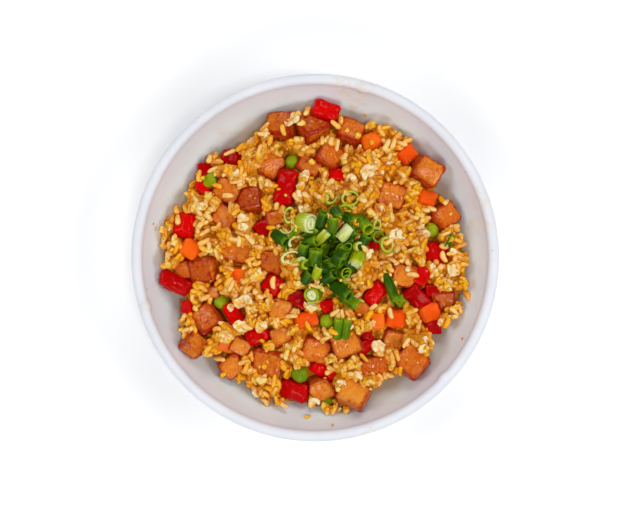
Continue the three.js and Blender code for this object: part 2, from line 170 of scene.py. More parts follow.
def keep_values(mesh, name, values):
    """Keeps a number or a vector for each point of a mesh, for its material to read."""
    kind, field = ("FLOAT_VECTOR", "vector") if values.ndim == 2 else ("FLOAT", "value")
    mesh.attributes.new(name, kind, "POINT").data.foreach_set(field, values.ravel())


class Batch:
    """The points, faces and point values of many small bodies that become one piece."""

    def __init__(self):
        self.points = []
        self.faces = []
        self.values = {}
        self.count = 0

    def add(self, points, faces, **values):
        self.points.append(points)
        self.faces.extend([[self.count + k for k in face] for face in faces])
        self.count += len(points)
        for name, value in values.items():
            value = np.asarray(value, float)
            if value.ndim == 0:
                value = np.full(len(points), float(value))
            self.values.setdefault(name, []).append(value)

    def piece(self, name, finish):
        mesh = bpy.data.meshes.new(name)
        mesh.from_pydata((np.concatenate(self.points) * MM).tolist(), [], self.faces)
        for value_name, parts in self.values.items():
            keep_values(mesh, value_name, np.concatenate(parts))
        mesh.shade_smooth()
        mesh.materials.append(finish)
        return add_object(name, mesh)


def add_object(name, mesh):
    """An object with the data given, in the scene."""
    made = bpy.data.objects.new(name, mesh)
    bpy.context.scene.collection.objects.link(made)
    return made


def finished_mesh(holder):
    """The plain mesh that an object's modifiers make. The object is removed."""
    made = bpy.data.meshes.new_from_object(holder.evaluated_get(bpy.context.evaluated_depsgraph_get()))
    bpy.data.objects.remove(holder)
    return made


def arrays_of(mesh):
    """A mesh's points in millimetres, its faces and its edges."""
    points = np.empty(len(mesh.vertices) * 3)
    mesh.vertices.foreach_get("co", points)
    edges = np.empty(len(mesh.edges) * 2, int)
    mesh.edges.foreach_get("vertices", edges)
    faces = [list(face.vertices) for face in mesh.polygons]
    return points.reshape(-1, 3) / MM, faces, edges.reshape(-1, 2)


def normals_of(points, faces):
    """Point normals of a mesh of quads."""
    quads = np.array(faces)
    corners = points[quads]
    across = np.cross(corners[:, 2] - corners[:, 0], corners[:, 3] - corners[:, 1])
    normals = np.zeros_like(points)
    for k in range(quads.shape[1]):
        np.add.at(normals, quads[:, k], across)
    return normals / np.maximum(np.linalg.norm(normals, axis=1), 1e-9)[:, None]


def smoothed(points, edges, rounds):
    """The points after each has moved to the middle of its neighbours a number of times."""
    neighbours = np.bincount(edges.ravel(), minlength=len(points))[:, None]
    for _ in range(rounds):
        total = np.zeros_like(points)
        np.add.at(total, edges[:, 0], points[edges[:, 1]])
        np.add.at(total, edges[:, 1], points[edges[:, 0]])
        points = 0.4 * points + 0.6 * total / neighbours
    return points


def remeshed(mesh, voxel):
    """A closed mesh made again of even quads of the size asked for."""
    holder = add_object("holder", mesh)
    weld = holder.modifiers.new("weld", "WELD")
    weld.merge_threshold = 0.01 * MM
    remesh = holder.modifiers.new("remesh", "REMESH")
    remesh.mode = "VOXEL"
    remesh.voxel_size = voxel * MM
    return arrays_of(finished_mesh(holder))


def turn_about_z(angle):
    """A matrix that turns points about Z."""
    cos, sin = math.cos(angle), math.sin(angle)
    return np.array([[cos, -sin, 0], [sin, cos, 0], [0, 0, 1]])


def closed_faces(ring_count, segments):
    """Faces between rings of points, and from the end rings to the two single points after them."""
    faces = []
    for ring in range(ring_count - 1):
        for k in range(segments):
            a, b = ring * segments + k, ring * segments + (k + 1) % segments
            faces.append([a, b, b + segments, a + segments])
    first, last = ring_count * segments, ring_count * segments + 1
    end = (ring_count - 1) * segments
    for k in range(segments):
        after = (k + 1) % segments
        faces.append([after, k, first])
        faces.append([end + k, end + after, last])
    return faces


def lathe(profile, segments):
    """Points and faces of a profile of (radius, height) turned about Z. It starts and ends on the axis."""
    turn = np.arange(segments) * TURN / segments
    cos, sin = np.cos(turn), np.sin(turn)
    rings = [np.stack([r * cos, r * sin, np.full(segments, z)], axis=1) for r, z in profile[1:-1]]
    points = np.concatenate(rings + [[(0, 0, profile[0][1])], [(0, 0, profile[-1][1])]])
    return points, closed_faces(len(rings), segments)


# Forms that the bowl and the heap follow.

def wall_height(radius):
    """Height of the bowl's inner surface."""
    share = np.maximum(0, radius - FLOOR_RADIUS) / (MOUTH_RADIUS - FLOOR_RADIUS)
    return FLOOR_TOP + (MOUTH_TOP - FLOOR_TOP) * share ** WALL_POWER


def outline_radius(angle):
    """Radius of the heap's edge, on a smooth closed curve through the outline's values."""
    values = np.array(OUTLINE, float)
    along = np.mod(angle / TURN, 1) * len(values)
    step = np.floor(along).astype(int)
    f = along - step
    a, b, c, d = (values[(step + k) % len(values)] for k in (-1, 0, 1, 2))
    return b + 0.5 * f * (c - a + f * (2 * a - 5 * b + 4 * c - d + f * (3 * (b - c) + d - a)))


def ragged(angle):
    """How far the loose grains reach past the heap's even edge, or fall short of it."""
    steps = np.arange(len(RAGGED_REACH)) * TURN / len(RAGGED_REACH)
    return np.interp(angle, steps, RAGGED_REACH, period=TURN)


def heap_height(x, y):
    """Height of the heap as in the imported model, without what is heaped up under the spring onion."""
    edge = outline_radius(np.arctan2(y, x))
    share = np.minimum(1, np.hypot(x, y) / edge)
    low = (wall_height(edge) + EDGE_DEPTH + EDGE_HEIGHT) / 2
    lumps = 0.9 * np.sin(x / 6.1 + 1.3) * np.sin(y / 7.3 - 0.4) + 0.6 * np.sin((x + 1.7 * y) / 9.5 + 2.1)
    return low + (HEAP_CENTRE - low) * (1 - share ** DOME_POWER) + lumps


def mound_rise(x, y):
    """How much the rice is heaped up further under the spring onion."""
    away = np.hypot((x - MOUND_MIDDLE[0]) / MOUND_LENGTH, (y - MOUND_MIDDLE[1]) / MOUND_WIDTH)
    return MOUND_HEIGHT * np.maximum(0, 1 - away ** 2)


class Heights:
    """The height of whatever lies uppermost, on a square grid over the bowl."""

    def __init__(self):
        self.axis = np.arange(-GRID_HALF, GRID_HALF + GRID_STEP, GRID_STEP)
        x, y = np.meshgrid(self.axis, self.axis, indexing="ij")
        self.top = np.maximum(heap_height(x, y) + mound_rise(x, y) - BED_DEPTH, 0)
        outside = np.hypot(x, y) > outline_radius(np.arctan2(y, x))
        self.top[outside] = wall_height(np.hypot(x, y)[outside])
        self.topping = np.zeros(self.top.shape, bool)
        clumps = waves(np.stack([x.ravel(), y.ravel()], axis=1), size=9, seed=32, count=20)
        self.target = heap_height(x, y) + mound_rise(x, y) + CLUMP_HEIGHT * clumps.reshape(x.shape)

    def cell(self, x, y):
        """The grid's cells that places fall in."""
        last = len(self.axis) - 1
        i = np.clip(np.rint((x + GRID_HALF) / GRID_STEP).astype(int), 0, last)
        j = np.clip(np.rint((y + GRID_HALF) / GRID_STEP).astype(int), 0, last)
        return i, j

    def at(self, x, y):
        return self.top[self.cell(x, y)]

    def cover(self, x, y, z):
        """Raises the grid to the points of something that was laid on it."""
        np.maximum.at(self.top, self.cell(x, y), z)

    def bed_level(self):
        """The grid evened out between the toppings, for the bed that the grains lie in."""
        free = np.where(self.topping, 0.0, 1.0)
        level = self.top * free
        steps = range(-BED_REACH, BED_REACH + 1)
        for axis in (0, 1):
            free, level = (sum(np.roll(grid, step, axis) for step in steps) for grid in (free, level))
        return (level + self.target - BED_DEPTH) / (free + 1)

    def keep_clear(self, x, y, length, width):
        """Lets hardly a grain lie in an ellipse."""
        near_x, near_y = np.meshgrid(self.axis, self.axis, indexing="ij")
        self.topping |= np.hypot((near_x - x) / length, (near_y - y) / width) < 1

    def cover_toppings(self, nodes, margin):
        """Raises the grid to packed toppings, seen from above. Grains keep a margin of some cells away."""
        points, faces = [], []
        for node in nodes:
            own, own_faces, _ = arrays_of(node.data)
            faces.extend([[len(points) + k for k in face] for face in own_faces])
            points.extend(own.tolist())
        tree = BVHTree.FromPolygons(points, faces)
        for i, x in enumerate(self.axis):
            for j, y in enumerate(self.axis):
                hit = tree.ray_cast(Vector((x, y, 2 * BOWL_HEIGHT)), Vector((0, 0, -1)))[0]
                if hit is not None and hit.z > self.top[i, j]:
                    self.top[i, j] = hit.z
                    self.topping[i - margin:i + margin + 1, j - margin:j + margin + 1] = True


def mark_hollows(pieces, heights):
    """Gives each point how many millimetres it lies below the highest thing close around it, for painted
    shade.
    """
    around = heights.top
    steps = range(-HOLLOW_REACH, HOLLOW_REACH + 1)
    for axis in (0, 1):
        around = np.max([np.roll(around, step, axis) for step in steps], axis=0)
    for piece in pieces:
        points, _, _ = arrays_of(piece.data)
        below = around[heights.cell(points[:, 0], points[:, 1])] - points[:, 2]
        keep_values(piece.data, "hollow", below)


# Materials.

class Value:
    """A number or colour that a material works out, written as sums and blends."""

    def __init__(self, finish, socket):
        self.finish = finish
        self.socket = socket

    def _math(self, operation, first, second):
        return self.finish.node("ShaderNodeMath", {"operation": operation}, {0: first, 1: second})

    def __add__(self, other):
        return self._math("ADD", self, other)

    def __sub__(self, other):
        return self._math("SUBTRACT", self, other)

    def __rsub__(self, other):
        return self._math("SUBTRACT", other, self)

    def __mul__(self, other):
        return self._math("MULTIPLY", self, other)

    __radd__ = __add__
    __rmul__ = __mul__

    def step(self, low, high):
        """0 below low, 1 above high and smooth between them."""
        inputs = {"Value": self, "From Min": low, "From Max": high}
        return self.finish.node("ShaderNodeMapRange", {"interpolation_type": "SMOOTHSTEP"}, inputs)

    def blend(self, first, second):
        """The first colour where this is 0, the second where it is 1."""
        inputs = {0: self, 6: first, 7: second}
        return self.finish.node("ShaderNodeMix", {"data_type": "RGBA"}, inputs, 2)


class Finish:
    """A material in the making: one shader and the nodes that feed it."""

    def __init__(self, name, **constants):
        self.material = bpy.data.materials.new(name)
        self.material.use_nodes = True
        self.tree = self.material.node_tree
        self.shader = self.tree.nodes["Principled BSDF"]
        for words, value in constants.items():
            self.shader.inputs[words.replace("_", " ").title().replace("Ior", "IOR")].default_value = value
        self.place = self.node("ShaderNodeTexCoord", output="Object")

    def node(self, kind, settings=None, inputs=None, output=0):
        made = self.tree.nodes.new(kind)
        for name, value in (settings or {}).items():
            setattr(made, name, value)
        for key, value in (inputs or {}).items():
            if isinstance(value, Value):
                self.tree.links.new(value.socket, made.inputs[key])
            else:
                made.inputs[key].default_value = value
        return Value(self, made.outputs[output])

    def noise(self, size, detail=3, where=None, stretch=None, roughness=0.5):
        """Cloudy values about 0.5, with clouds of a size in millimetres."""
        where = where or self.place
        if stretch is not None:
            where = self.node("ShaderNodeMapping", {}, {"Vector": where, "Scale": stretch})
        inputs = {"Vector": where, "Scale": 1 / (size * MM), "Detail": detail, "Roughness": roughness}
        return self.node("ShaderNodeTexNoise", {}, inputs)

    def cells(self, size):
        """Distance from the nearest of many scattered points, which are a size in millimetres apart."""
        inputs = {"Vector": self.place, "Scale": 1 / (size * MM)}
        return self.node("ShaderNodeTexVoronoi", {}, inputs, "Distance")

    def value(self, name):
        return self.node("ShaderNodeAttribute", {"attribute_name": name}, {}, "Fac")

    def vector(self, name):
        return self.node("ShaderNodeAttribute", {"attribute_name": name}, {}, "Vector")

    def feed(self, **inputs):
        for words, value in inputs.items():
            self.tree.links.new(value.socket, self.shader.inputs[words.replace("_", " ").title()])
        return self.material

    def upward(self, low, high):
        """1 where the surface faces up, 0 where it faces aside or down."""
        normal = self.node("ShaderNodeNewGeometry", output="Normal")
        return self.node("ShaderNodeSeparateXYZ", {}, {0: normal}, 2).step(low, high)

    def bump(self, height, depth):
        """A relief whose height runs from 0 to 1 over a depth in millimetres."""
        inputs = {"Height": height, "Distance": depth * MM, "Strength": 1.0}
        return self.node("ShaderNodeBump", {}, inputs, "Normal")


def bowl_finish():
    """Pressed fibre, white, matt; low inside oily and painted cool against the food's warm light; a few brown
    flecks.
    """
    made = Finish("pressed_fibre", coat_roughness=0.35, specular_ior_level=0.4)
    height = made.node("ShaderNodeSeparateXYZ", {}, {0: made.place}, 2)
    fibres = made.noise(1.6, 4, stretch=(1, 1, 0.4))
    cloud = made.noise(26, 3)
    oil_cloud = made.noise(13, 4, roughness=0.65).step(0.5, 0.7)
    near_food = made.value("inside") * (1 - height.step(NEAR_FOOD_HEIGHT * MM, MOUTH_TOP * MM))
    rim = cloud.step(0.35, 0.7).blend(linear(231, 233, 240), linear(237, 238, 245))
    # Painted cool tint low inside the bowl, set against the warm light that the food throws on the wall.
    base = near_food.blend(rim, linear(233, 249, 253))
    smear = made.value("oil") * made.noise(3.5, 4, roughness=0.7).step(0.4, 0.62)
    oil = oil_cloud * (0.16 * near_food + 0.03) + 0.28 * smear
    stained = oil.blend(base, linear(240, 190, 90))
    speck = 1 - made.cells(9).step(0.030, 0.055)
    rare = made.noise(23, 1).step(0.56, 0.6)
    colour = (speck * rare * 0.75).blend(stained, linear(120, 84, 52))
    roughness = 0.5 - 0.22 * oil_cloud * near_food
    relief = fibres + 0.5 * made.noise(0.6, 2)
    return made.feed(base_color=colour, roughness=roughness, normal=made.bump(relief, 0.05))


def rice_finish():
    """Cooked grains, cream to golden where egg or oil clings, painted paler on tops and darker where shade
    falls.
    """
    made = Finish(
        "rice_grains", subsurface_weight=0.4, subsurface_scale=0.6 * MM, subsurface_radius=(1, 0.6, 0.3),
        coat_weight=0.3, coat_roughness=0.1, specular_ior_level=0.05,
    )
    tone = made.value("tone")
    patch = made.noise(1.8, 3)
    egged = (tone + 0.7 * (patch - 0.5)).step(0.3, 0.85)
    above = egged.blend(linear(252, 212, 134), linear(252, 182, 24))
    above = (made.noise(7, 2).step(0.52, 0.72) * 0.5).blend(above, linear(238, 144, 8))
    aside = egged.blend(linear(236, 150, 24), linear(222, 112, 1))
    # Painted light and shade: faces turned up take the pale colour, faces turned aside the deeper one.
    colour = made.upward(0.15, 0.85).blend(aside, above)
    # A tone above 1 comes from a grain lying below the heap's surface: painted shade that darkens low grains.
    colour = (tone.step(0.8, 1.7) * 0.6).blend(colour, linear(206, 92, 0))
    # Painted shade: deep gold where a point lies below what is close around it.
    colour = (made.value("hollow").step(0.8, 4.0) * 0.7).blend(colour, linear(244, 164, 20))
    ridges = made.noise(450, 2, where=made.vector("own"), stretch=(0.12, 1, 1))
    return made.feed(base_color=colour, roughness=0.38 - 0.2 * patch, normal=made.bump(ridges + patch, 0.12))


def bed_finish():
    """Rice and egg stuck together: golden, with painted shade darkening its low places."""
    made = Finish(
        "rice_bed", subsurface_weight=0.3, subsurface_scale=0.6 * MM, subsurface_radius=(1, 0.6, 0.3),
        specular_ior_level=0.08,
    )
    low = 1 - made.value("height").step(-1.0, 0.6)
    patch = made.noise(3.1, 4)
    colour = patch.step(0.38, 0.62).blend(linear(242, 160, 16), linear(250, 200, 84))
    # Painted shade: darker in the low places of the bed's relief.
    colour = (low * 0.5).blend(colour, linear(216, 104, 2))
    relief = made.bump(made.noise(1.1, 3), 0.5)
    return made.feed(base_color=colour, roughness=0.5 - 0.2 * patch, normal=relief)


def egg_finish(name, yolk, pale, share):
    """Scrambled egg: yolk yellow with paler set white, painted deeper where shade falls on sides and in
    hollows.
    """
    made = Finish(
        name, subsurface_weight=0.25, subsurface_scale=0.6 * MM, subsurface_radius=(1, 0.6, 0.25),
        coat_weight=0.15, coat_roughness=0.12, specular_ior_level=0.08,
    )
    white = (made.noise(3.2, 3) + 0.25 * made.value("tone")).step(share, share + 0.14)
    # Painted shade: faces turned aside or down take a deep orange.
    colour = made.upward(-0.1, 0.5).blend(linear(208, 106, 0), white.blend(yolk, pale))
    # Painted shade: deep gold where a point lies in a hollow.
    colour = (made.value("hollow").step(0.8, 4.0) * 0.8).blend(colour, linear(240, 152, 4))
    relief = made.noise(1.2, 4, roughness=0.6)
    return made.feed(base_color=colour, roughness=0.5 - 0.2 * relief, normal=made.bump(relief, 0.35))


def meat_finish():
    """Luncheon meat, fried: orange-brown and fine-grained, browned at edges and sides, painted shade on
    sides, thin glaze.
    """
    made = Finish(
        "luncheon_meat", subsurface_weight=0.1, subsurface_scale=0.8 * MM, subsurface_radius=(1, 0.4, 0.15),
        coat_roughness=0.12, specular_ior_level=0.1,
    )
    tone = made.value("tone")
    cloud = made.noise(4.5, 4, roughness=0.6)
    base = (0.7 * tone + 1.6 * (cloud - 0.4)).step(0.0, 1.0).blend(linear(238, 150, 40), linear(216, 98, 8))
    speckle = made.noise(0.9, 3, roughness=0.7)
    streaks = made.noise(1.3, 3, roughness=0.65, stretch=(1, 0.3, 1)).step(0.54, 0.7)
    base = (speckle.step(0.5, 0.72) * 0.7).blend(base, linear(242, 164, 62))
    spots = made.noise(3.0, 3).step(0.52, 0.7)
    # The sear on faces turned aside is partly painted shade; the rest of the browning is the meat's own.
    fried = made.value("sear_and_side_shade") + made.value("edge").step(0.15, 0.85) * 0.75 + 0.4 * spots
    base = (streaks * 0.6).blend(base, linear(192, 62, 4))
    colour = fried.step(0.1, 1.25).blend(base, linear(170, 36, 0))
    pores = 1 - made.cells(1.25).step(0.08, 0.3)
    relief = speckle + cloud * 0.4 - pores * 0.6 - streaks * 0.4
    glaze = made.noise(8, 2).step(0.42, 0.62)
    return made.feed(
        base_color=colour, roughness=0.5 - 0.2 * glaze, coat_weight=0.65 * glaze,
        normal=made.bump(relief, 0.36),
    )


def pepper_finish():
    """Cooked red pepper: deep, wet skin, a little paler along its cut edges."""
    made = Finish(
        "red_pepper", subsurface_weight=0.08, subsurface_scale=0.8 * MM, subsurface_radius=(1, 0.1, 0.05),
        coat_weight=0.18, coat_roughness=0.05, specular_ior_level=0.03,
    )
    tone = made.value("tone")
    cloud = made.noise(5, 2)
    base = (tone + 0.5 * (cloud - 0.5)).step(0.1, 0.9).blend(linear(176, 0, 0), linear(220, 2, 0))
    cut = made.value("edge").step(0.5, 1.3) * 0.45
    colour = cut.blend(base, linear(216, 50, 6))
    relief = made.bump(cloud + 0.3 * made.noise(1.2), 0.5)
    return made.feed(base_color=colour, roughness=0.3 - 0.1 * cloud, normal=relief)


def carrot_finish():
    """Cooked carrot: orange, and paler along its cut edges."""
    made = Finish(
        "carrot", subsurface_weight=0.15, subsurface_scale=0.8 * MM, subsurface_radius=(1, 0.4, 0.1),
        coat_weight=0.1, coat_roughness=0.15, specular_ior_level=0.08,
    )
    cloud = made.noise(4, 3)
    deep = (made.value("tone") + 0.6 * (cloud - 0.5)).step(0, 1)
    base = deep.blend(linear(252, 116, 4), linear(244, 82, 1))
    colour = (made.value("edge").step(0.3, 1.2) * 0.5).blend(base, linear(255, 146, 30))
    relief = made.bump(made.noise(0.8, 3), 0.15)
    return made.feed(base_color=colour, roughness=0.45 - 0.15 * cloud, normal=relief)


def pea_finish():
    """A pea's skin: yellow-green in clouds, with a soft shine."""
    made = Finish(
        "pea", subsurface_weight=0.1, subsurface_scale=0.8 * MM, subsurface_radius=(0.5, 1, 0.1),
        coat_weight=0.15, coat_roughness=0.12, specular_ior_level=0.08,
    )
    cloud = made.noise(3.5, 3)
    colour = (made.value("tone") + cloud - 0.5).step(0, 1).blend(linear(106, 132, 1), linear(158, 174, 8))
    relief = made.bump(made.noise(1.6, 2), 0.25)
    return made.feed(base_color=colour, roughness=0.45 - 0.1 * cloud, normal=relief)


def onion_finish():
    """Spring onion: white at the stem, through yellow-green, to the leaf's dark green, finely striped."""
    made = Finish(
        "spring_onion", subsurface_weight=0.1, subsurface_scale=0.5 * MM, subsurface_radius=(0.6, 1, 0.2),
        coat_weight=0.15, coat_roughness=0.1, specular_ior_level=0.08,
    )
    pale = made.value("pale")
    stripes = made.noise(0.8, 2, where=made.vector("own"), stretch=(1, 1, 0.06))
    cloud = made.noise(4, 2)
    shade = pale + 0.5 * (stripes - 0.5) + 0.3 * (cloud - 0.5)
    colour = shade.step(0.03, 0.36).blend(linear(38, 78, 0), linear(104, 140, 1))
    colour = shade.step(0.3, 0.62).blend(colour, linear(180, 190, 18))
    colour = shade.step(0.58, 0.95).blend(colour, linear(228, 232, 168))
    return made.feed(base_color=colour, roughness=0.42 - 0.1 * stripes, normal=made.bump(stripes, 0.15))


# Bowl.

def bowl_profile():
    """The bowl's closed outline, from the middle of its floor over the rim to the middle of its underside."""
    steepest = WALL_POWER * (MOUTH_TOP - FLOOR_TOP) / (MOUTH_RADIUS - FLOOR_RADIUS)
    inner, outer = [(0, FLOOR_TOP)], []
    inner += [(radius, FLOOR_TOP) for radius in (8, 18, 28, 38, 47)]
    steps = 44
    for k in range(steps + 1):
        share = (k / steps) ** 0.85
        radius = FLOOR_RADIUS + (MOUTH_RADIUS - FLOOR_RADIUS) * share
        height = float(wall_height(radius))
        inner.append((radius, height))
        if share > 0.12:
            turn = math.atan(steepest * share ** (WALL_POWER - 1))
            outer.append((radius + WALL * math.sin(turn), height - WALL * math.cos(turn)))
    half = (RIM_RADIUS - MOUTH_RADIUS) / 2
    crown_steps = 16
    crown = []
    for k in range(1, crown_steps + 1):
        turn = math.pi * (1 - k / crown_steps)
        crown.append((MOUTH_RADIUS + half * (1 + math.cos(turn)), MOUTH_TOP + CROWN_RISE * math.sin(turn)))
    low = MOUTH_TOP - SKIRT
    skirt = [
        (RIM_RADIUS, MOUTH_TOP - 0.8), (RIM_RADIUS, low + 0.5), (RIM_RADIUS - 0.4, low),
        (RIM_RADIUS - 1.2, low), (RIM_RADIUS - WALL, low + 0.4), (RIM_RADIUS - WALL, MOUTH_TOP - 0.6),
        (RIM_RADIUS - 2.4, MOUTH_TOP),
    ]
    foot = [
        (FOOT_OUTER + 1.2, 1.1), (FOOT_OUTER + 0.3, 0.2), (FOOT_OUTER - 0.8, 0), (FOOT_INNER + 1.6, 0),
        (FOOT_INNER + 0.6, 0.3), (FOOT_INNER, 0.9), (FOOT_INNER - 1, FOOT_RECESS), (20, FOOT_RECESS),
    ]
    return inner + crown + skirt + outer[::-1] + foot + [(0, FOOT_RECESS)]


# Smears of yellow oil on the bowl. A row is x, y and reach.
OIL_SMEARS = (
    (16, 101, 9), (27, 99, 8), (32, 100, 7), (25, 90, 9), (97, 34, 9), (98, 20, 8), (43, -78, 7),
    (32, -102, 5), (-99, -28, 5),
)


def lugs_pushed(points):
    """The bowl's points with its three lugs raised out of the crown."""
    radius = np.hypot(points[:, 0], points[:, 1])
    angle = np.arctan2(points[:, 1], points[:, 0])
    crown_radius = (MOUTH_RADIUS + RIM_RADIUS) / 2
    away = np.stack([radius - crown_radius, points[:, 2] - MOUTH_TOP], axis=1)
    away /= np.maximum(np.linalg.norm(away, axis=1), 1e-6)[:, None]
    for lug in LUG_ANGLES:
        side = np.mod(angle - math.radians(lug) + math.pi, TURN) - math.pi
        off = np.sqrt((side * radius) ** 2 + (radius - LUG_RADIUS) ** 2 + (points[:, 2] - LUG_HEIGHT) ** 2)
        push = LUG_PUSH * np.maximum(0, 1 - (off / LUG_REACH) ** 2) ** 2
        radius += push * away[:, 0]
        points[:, 2] += push * away[:, 1]
    points[:, 0], points[:, 1] = radius * np.cos(angle), radius * np.sin(angle)
    return points, radius, angle


def oil_on(points, beyond):
    """How oily each bowl point is: in smears, and faintly by the food's edge, there partly painted warm
    light.
    """
    oil = np.zeros(len(points))
    for x, y, reach in OIL_SMEARS:
        away = np.hypot(points[:, 0] - x, points[:, 1] - y) / reach
        oil = np.maximum(oil, np.clip(1.5 - 1.5 * away, 0, 1))
    # Along the food's edge the yellow is partly oil and partly painted warm light in the food's shade.
    return np.maximum(oil, 0.2 * np.clip(1 - np.abs(beyond) / 7, 0, 1))


def make_bowl():
    """The bowl turned from its outline, slightly uneven, its points marked as inside, oily and painted warm.
    """
    points, faces = lathe(bowl_profile(), BOWL_SEGMENTS)
    points, radius, angle = lugs_pushed(points)
    points[:, 2] += BOWL_UNEVEN * waves(points, size=19, seed=3) * (points[:, 2] > FOOT_HEIGHT)
    inside = (points[:, 2] > wall_height(np.minimum(radius, MOUTH_RADIUS)) - WALL / 2) * 1.0
    oil = oil_on(points, radius - outline_radius(angle))
    made = Batch()
    made.add(points, [face[::-1] for face in faces], oil=oil * inside, inside=inside)
    piece = made.piece("bowl_shell", bowl_finish())
    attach(piece, "root")
    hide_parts("bowl")


# Toppings.

# How a kind of topping is cut: the size of its quads, the rounds that soften its edges, how far it swells,
# and the height of its coarse and its fine unevenness.
Form = namedtuple("Form", "voxel rounding swelling coarse fine")
MEAT_FORM = Form(0.7, 1, 0.2, 0.2, 0.14)
PEPPER_FORM = Form(0.6, 2, 0.2, 0.35, 0.05)
CARROT_FORM = Form(0.6, 1, 0.2, 0.2, 0.06)
PEA_FORM = Form(0.5, 4, 0.3, 0.14, 0.06)
COARSE_SIZE, FINE_SIZE = 4.5, 1.5
# An edge is sharp where it stands this far out of the same piece smoothed for so many rounds.
SHARP_EDGE, EDGE_ROUNDS = 0.3, 8
# Loose grains keep this share of a small topping's length away from its middle.
CLEAR_SHARE = 0.6
# Cells of the grid around each packed topping that loose grains keep out of as well.
MARGINS = {"meat": 0, "pepper": 3, "carrot": 2, "pea": 3}


def bodied(mesh, form, seed):
    """A cut piece made soft and uneven: points, faces, and each point's edge, and its sear with painted side
    shade.
    """
    points, faces, edges = remeshed(mesh, form.voxel)
    points = smoothed(points, edges, form.rounding)
    normals = normals_of(points, faces)
    flat = smoothed(points, edges, EDGE_ROUNDS)
    edge = ((points - flat) * normals).sum(axis=1) / SHARP_EDGE
    hot = np.random.default_rng(seed).normal(size=3)
    browned = np.clip(4 * normals @ hot / np.linalg.norm(hot) - 2.2, 0, 0.7)
    # Faces turned aside are marked dark too: partly fried sides, partly painted shade on them.
    sides = np.clip(1.9 - 2.4 * normals[:, 2], 0, 1)
    sear_and_side_shade = np.maximum(0.8 * sides, browned)
    coarse, fine = waves(points, COARSE_SIZE, seed), waves(points, FINE_SIZE, seed + 1)
    push = form.swelling + form.coarse * coarse + form.fine * fine
    return points + normals * push[:, None], faces, edge, sear_and_side_shade


def block_mesh(length, width, height, seed):
    """A plain block about the origin whose corners are a little out of true."""
    draw = np.random.default_rng(seed)
    corners = np.array([[x, y, z] for z in (-1, 1) for y in (-1, 1) for x in (-1, 1)], float)
    corners *= np.array([length, width, height]) / 2 * (1 + draw.uniform(-0.12, 0.12, (8, 3)))
    faces = [(0, 2, 3, 1), (4, 5, 7, 6), (0, 1, 5, 4), (2, 6, 7, 3), (0, 4, 6, 2), (1, 3, 7, 5)]
    mesh = bpy.data.meshes.new("block")
    mesh.from_pydata((corners * MM).tolist(), [], faces)
    return mesh


# Toppings too small for a node. A row is x, y, length, width, height, yaw and how far its top stands out.
SMALL_MEAT = (
    (-77, -7, 11, 10, 9, 15, 3), (-24, 22, 11, 9, 9, 10, 3), (-44, -51, 12, 10, 9, -30, 3),
    (-60, -20, 9, 8, 7, 0, 3),
)
SMALL_PEPPER = (
    (-65, 52, 8, 8, 6, 10, 3), (-66, 41, 10, 6, 6, -50, 3), (-75, -29, 8, 8, 6, 0, 4),
    (-30, 17, 10, 9, 6, 35, 3), (-47, -33, 14, 8, 6, -70, 3), (-9, -24, 12, 8, 5, -35, 3),
    (7, -28, 9, 7, 5, 20, 3), (62, -10, 11, 9, 5, 60, 3), (69, -41, 9, 8, 6, 5, 4), (68, -19, 8, 7, 5, 0, 2),
    (13, 48, 9, 7, 5, 0, 3), (30, -45, 6, 6, 5, 0, 2), (34, 7, 8, 5, 4, 0, 3),
)
SMALL_CARROT = ((-45, -10, 9, 8, 8, -10, 3), (36, -36, 9, 10, 8, 0, 3), (-51, -52, 12, 6, 6, -15, 2))
# Small peas are cubes that softening makes round.
SMALL_PEAS = ((-61, 44, 8.5, 8.5, 8.5, 20, 3), (6, -82, 8, 8, 8, 20, 3), (50, -25, 7, 7, 7, 20, 2))


def laid(points, x, y, yaw, tilt, z):
    """Points turned and tilted as the heap slopes there, and set down."""
    step = 5
    slope_x = (heap_height(x + step, y) - heap_height(x - step, y)) / (2 * step)
    slope_y = (heap_height(x, y + step) - heap_height(x, y - step)) / (2 * step)
    normal = Vector((-slope_x + tilt[0], -slope_y + tilt[1], 1)).normalized()
    turn = Vector((0, 0, 1)).rotation_difference(normal).to_matrix()
    return points @ (np.array(turn) @ turn_about_z(yaw)).T + np.array((x, y, z))


def nodes_of(kind):
    """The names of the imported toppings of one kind."""
    return sorted(name for name in frame["nodes"] if name.startswith(kind + "_"))


def make_toppings(kind, piece_name, finish, form, small_rows, heights):
    """All pieces of one kind, joined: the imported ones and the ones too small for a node."""
    draw = np.random.default_rng(sum(map(ord, kind)))
    made = Batch()
    nodes = nodes_of(kind)
    for number, name in enumerate(nodes):
        points, faces, edge, sear_and_side_shade = bodied(frame["nodes"][name].data.copy(), form, 10 * number)
        made.add(points, faces, edge=edge, sear_and_side_shade=sear_and_side_shade, tone=draw.uniform())
    for number, (x, y, length, width, height, yaw, stand) in enumerate(small_rows):
        x, y = x * SPREAD, y * SPREAD
        block = block_mesh(length, width, height, number)
        points, faces, edge, sear_and_side_shade = bodied(block, form, 10 * number + 5)
        z = float(heap_height(x, y)) + stand - height / 2
        points = laid(points, x, y, math.radians(yaw), draw.uniform(-0.2, 0.2, 2), z)
        heights.cover(points[:, 0], points[:, 1], points[:, 2])
        heights.keep_clear(x, y, CLEAR_SHARE * length, CLEAR_SHARE * length)
        made.add(points, faces, edge=edge, sear_and_side_shade=sear_and_side_shade, tone=draw.uniform())
    piece = made.piece(piece_name, finish)
    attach(piece, "root")
    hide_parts(*nodes)


# Rice and egg.

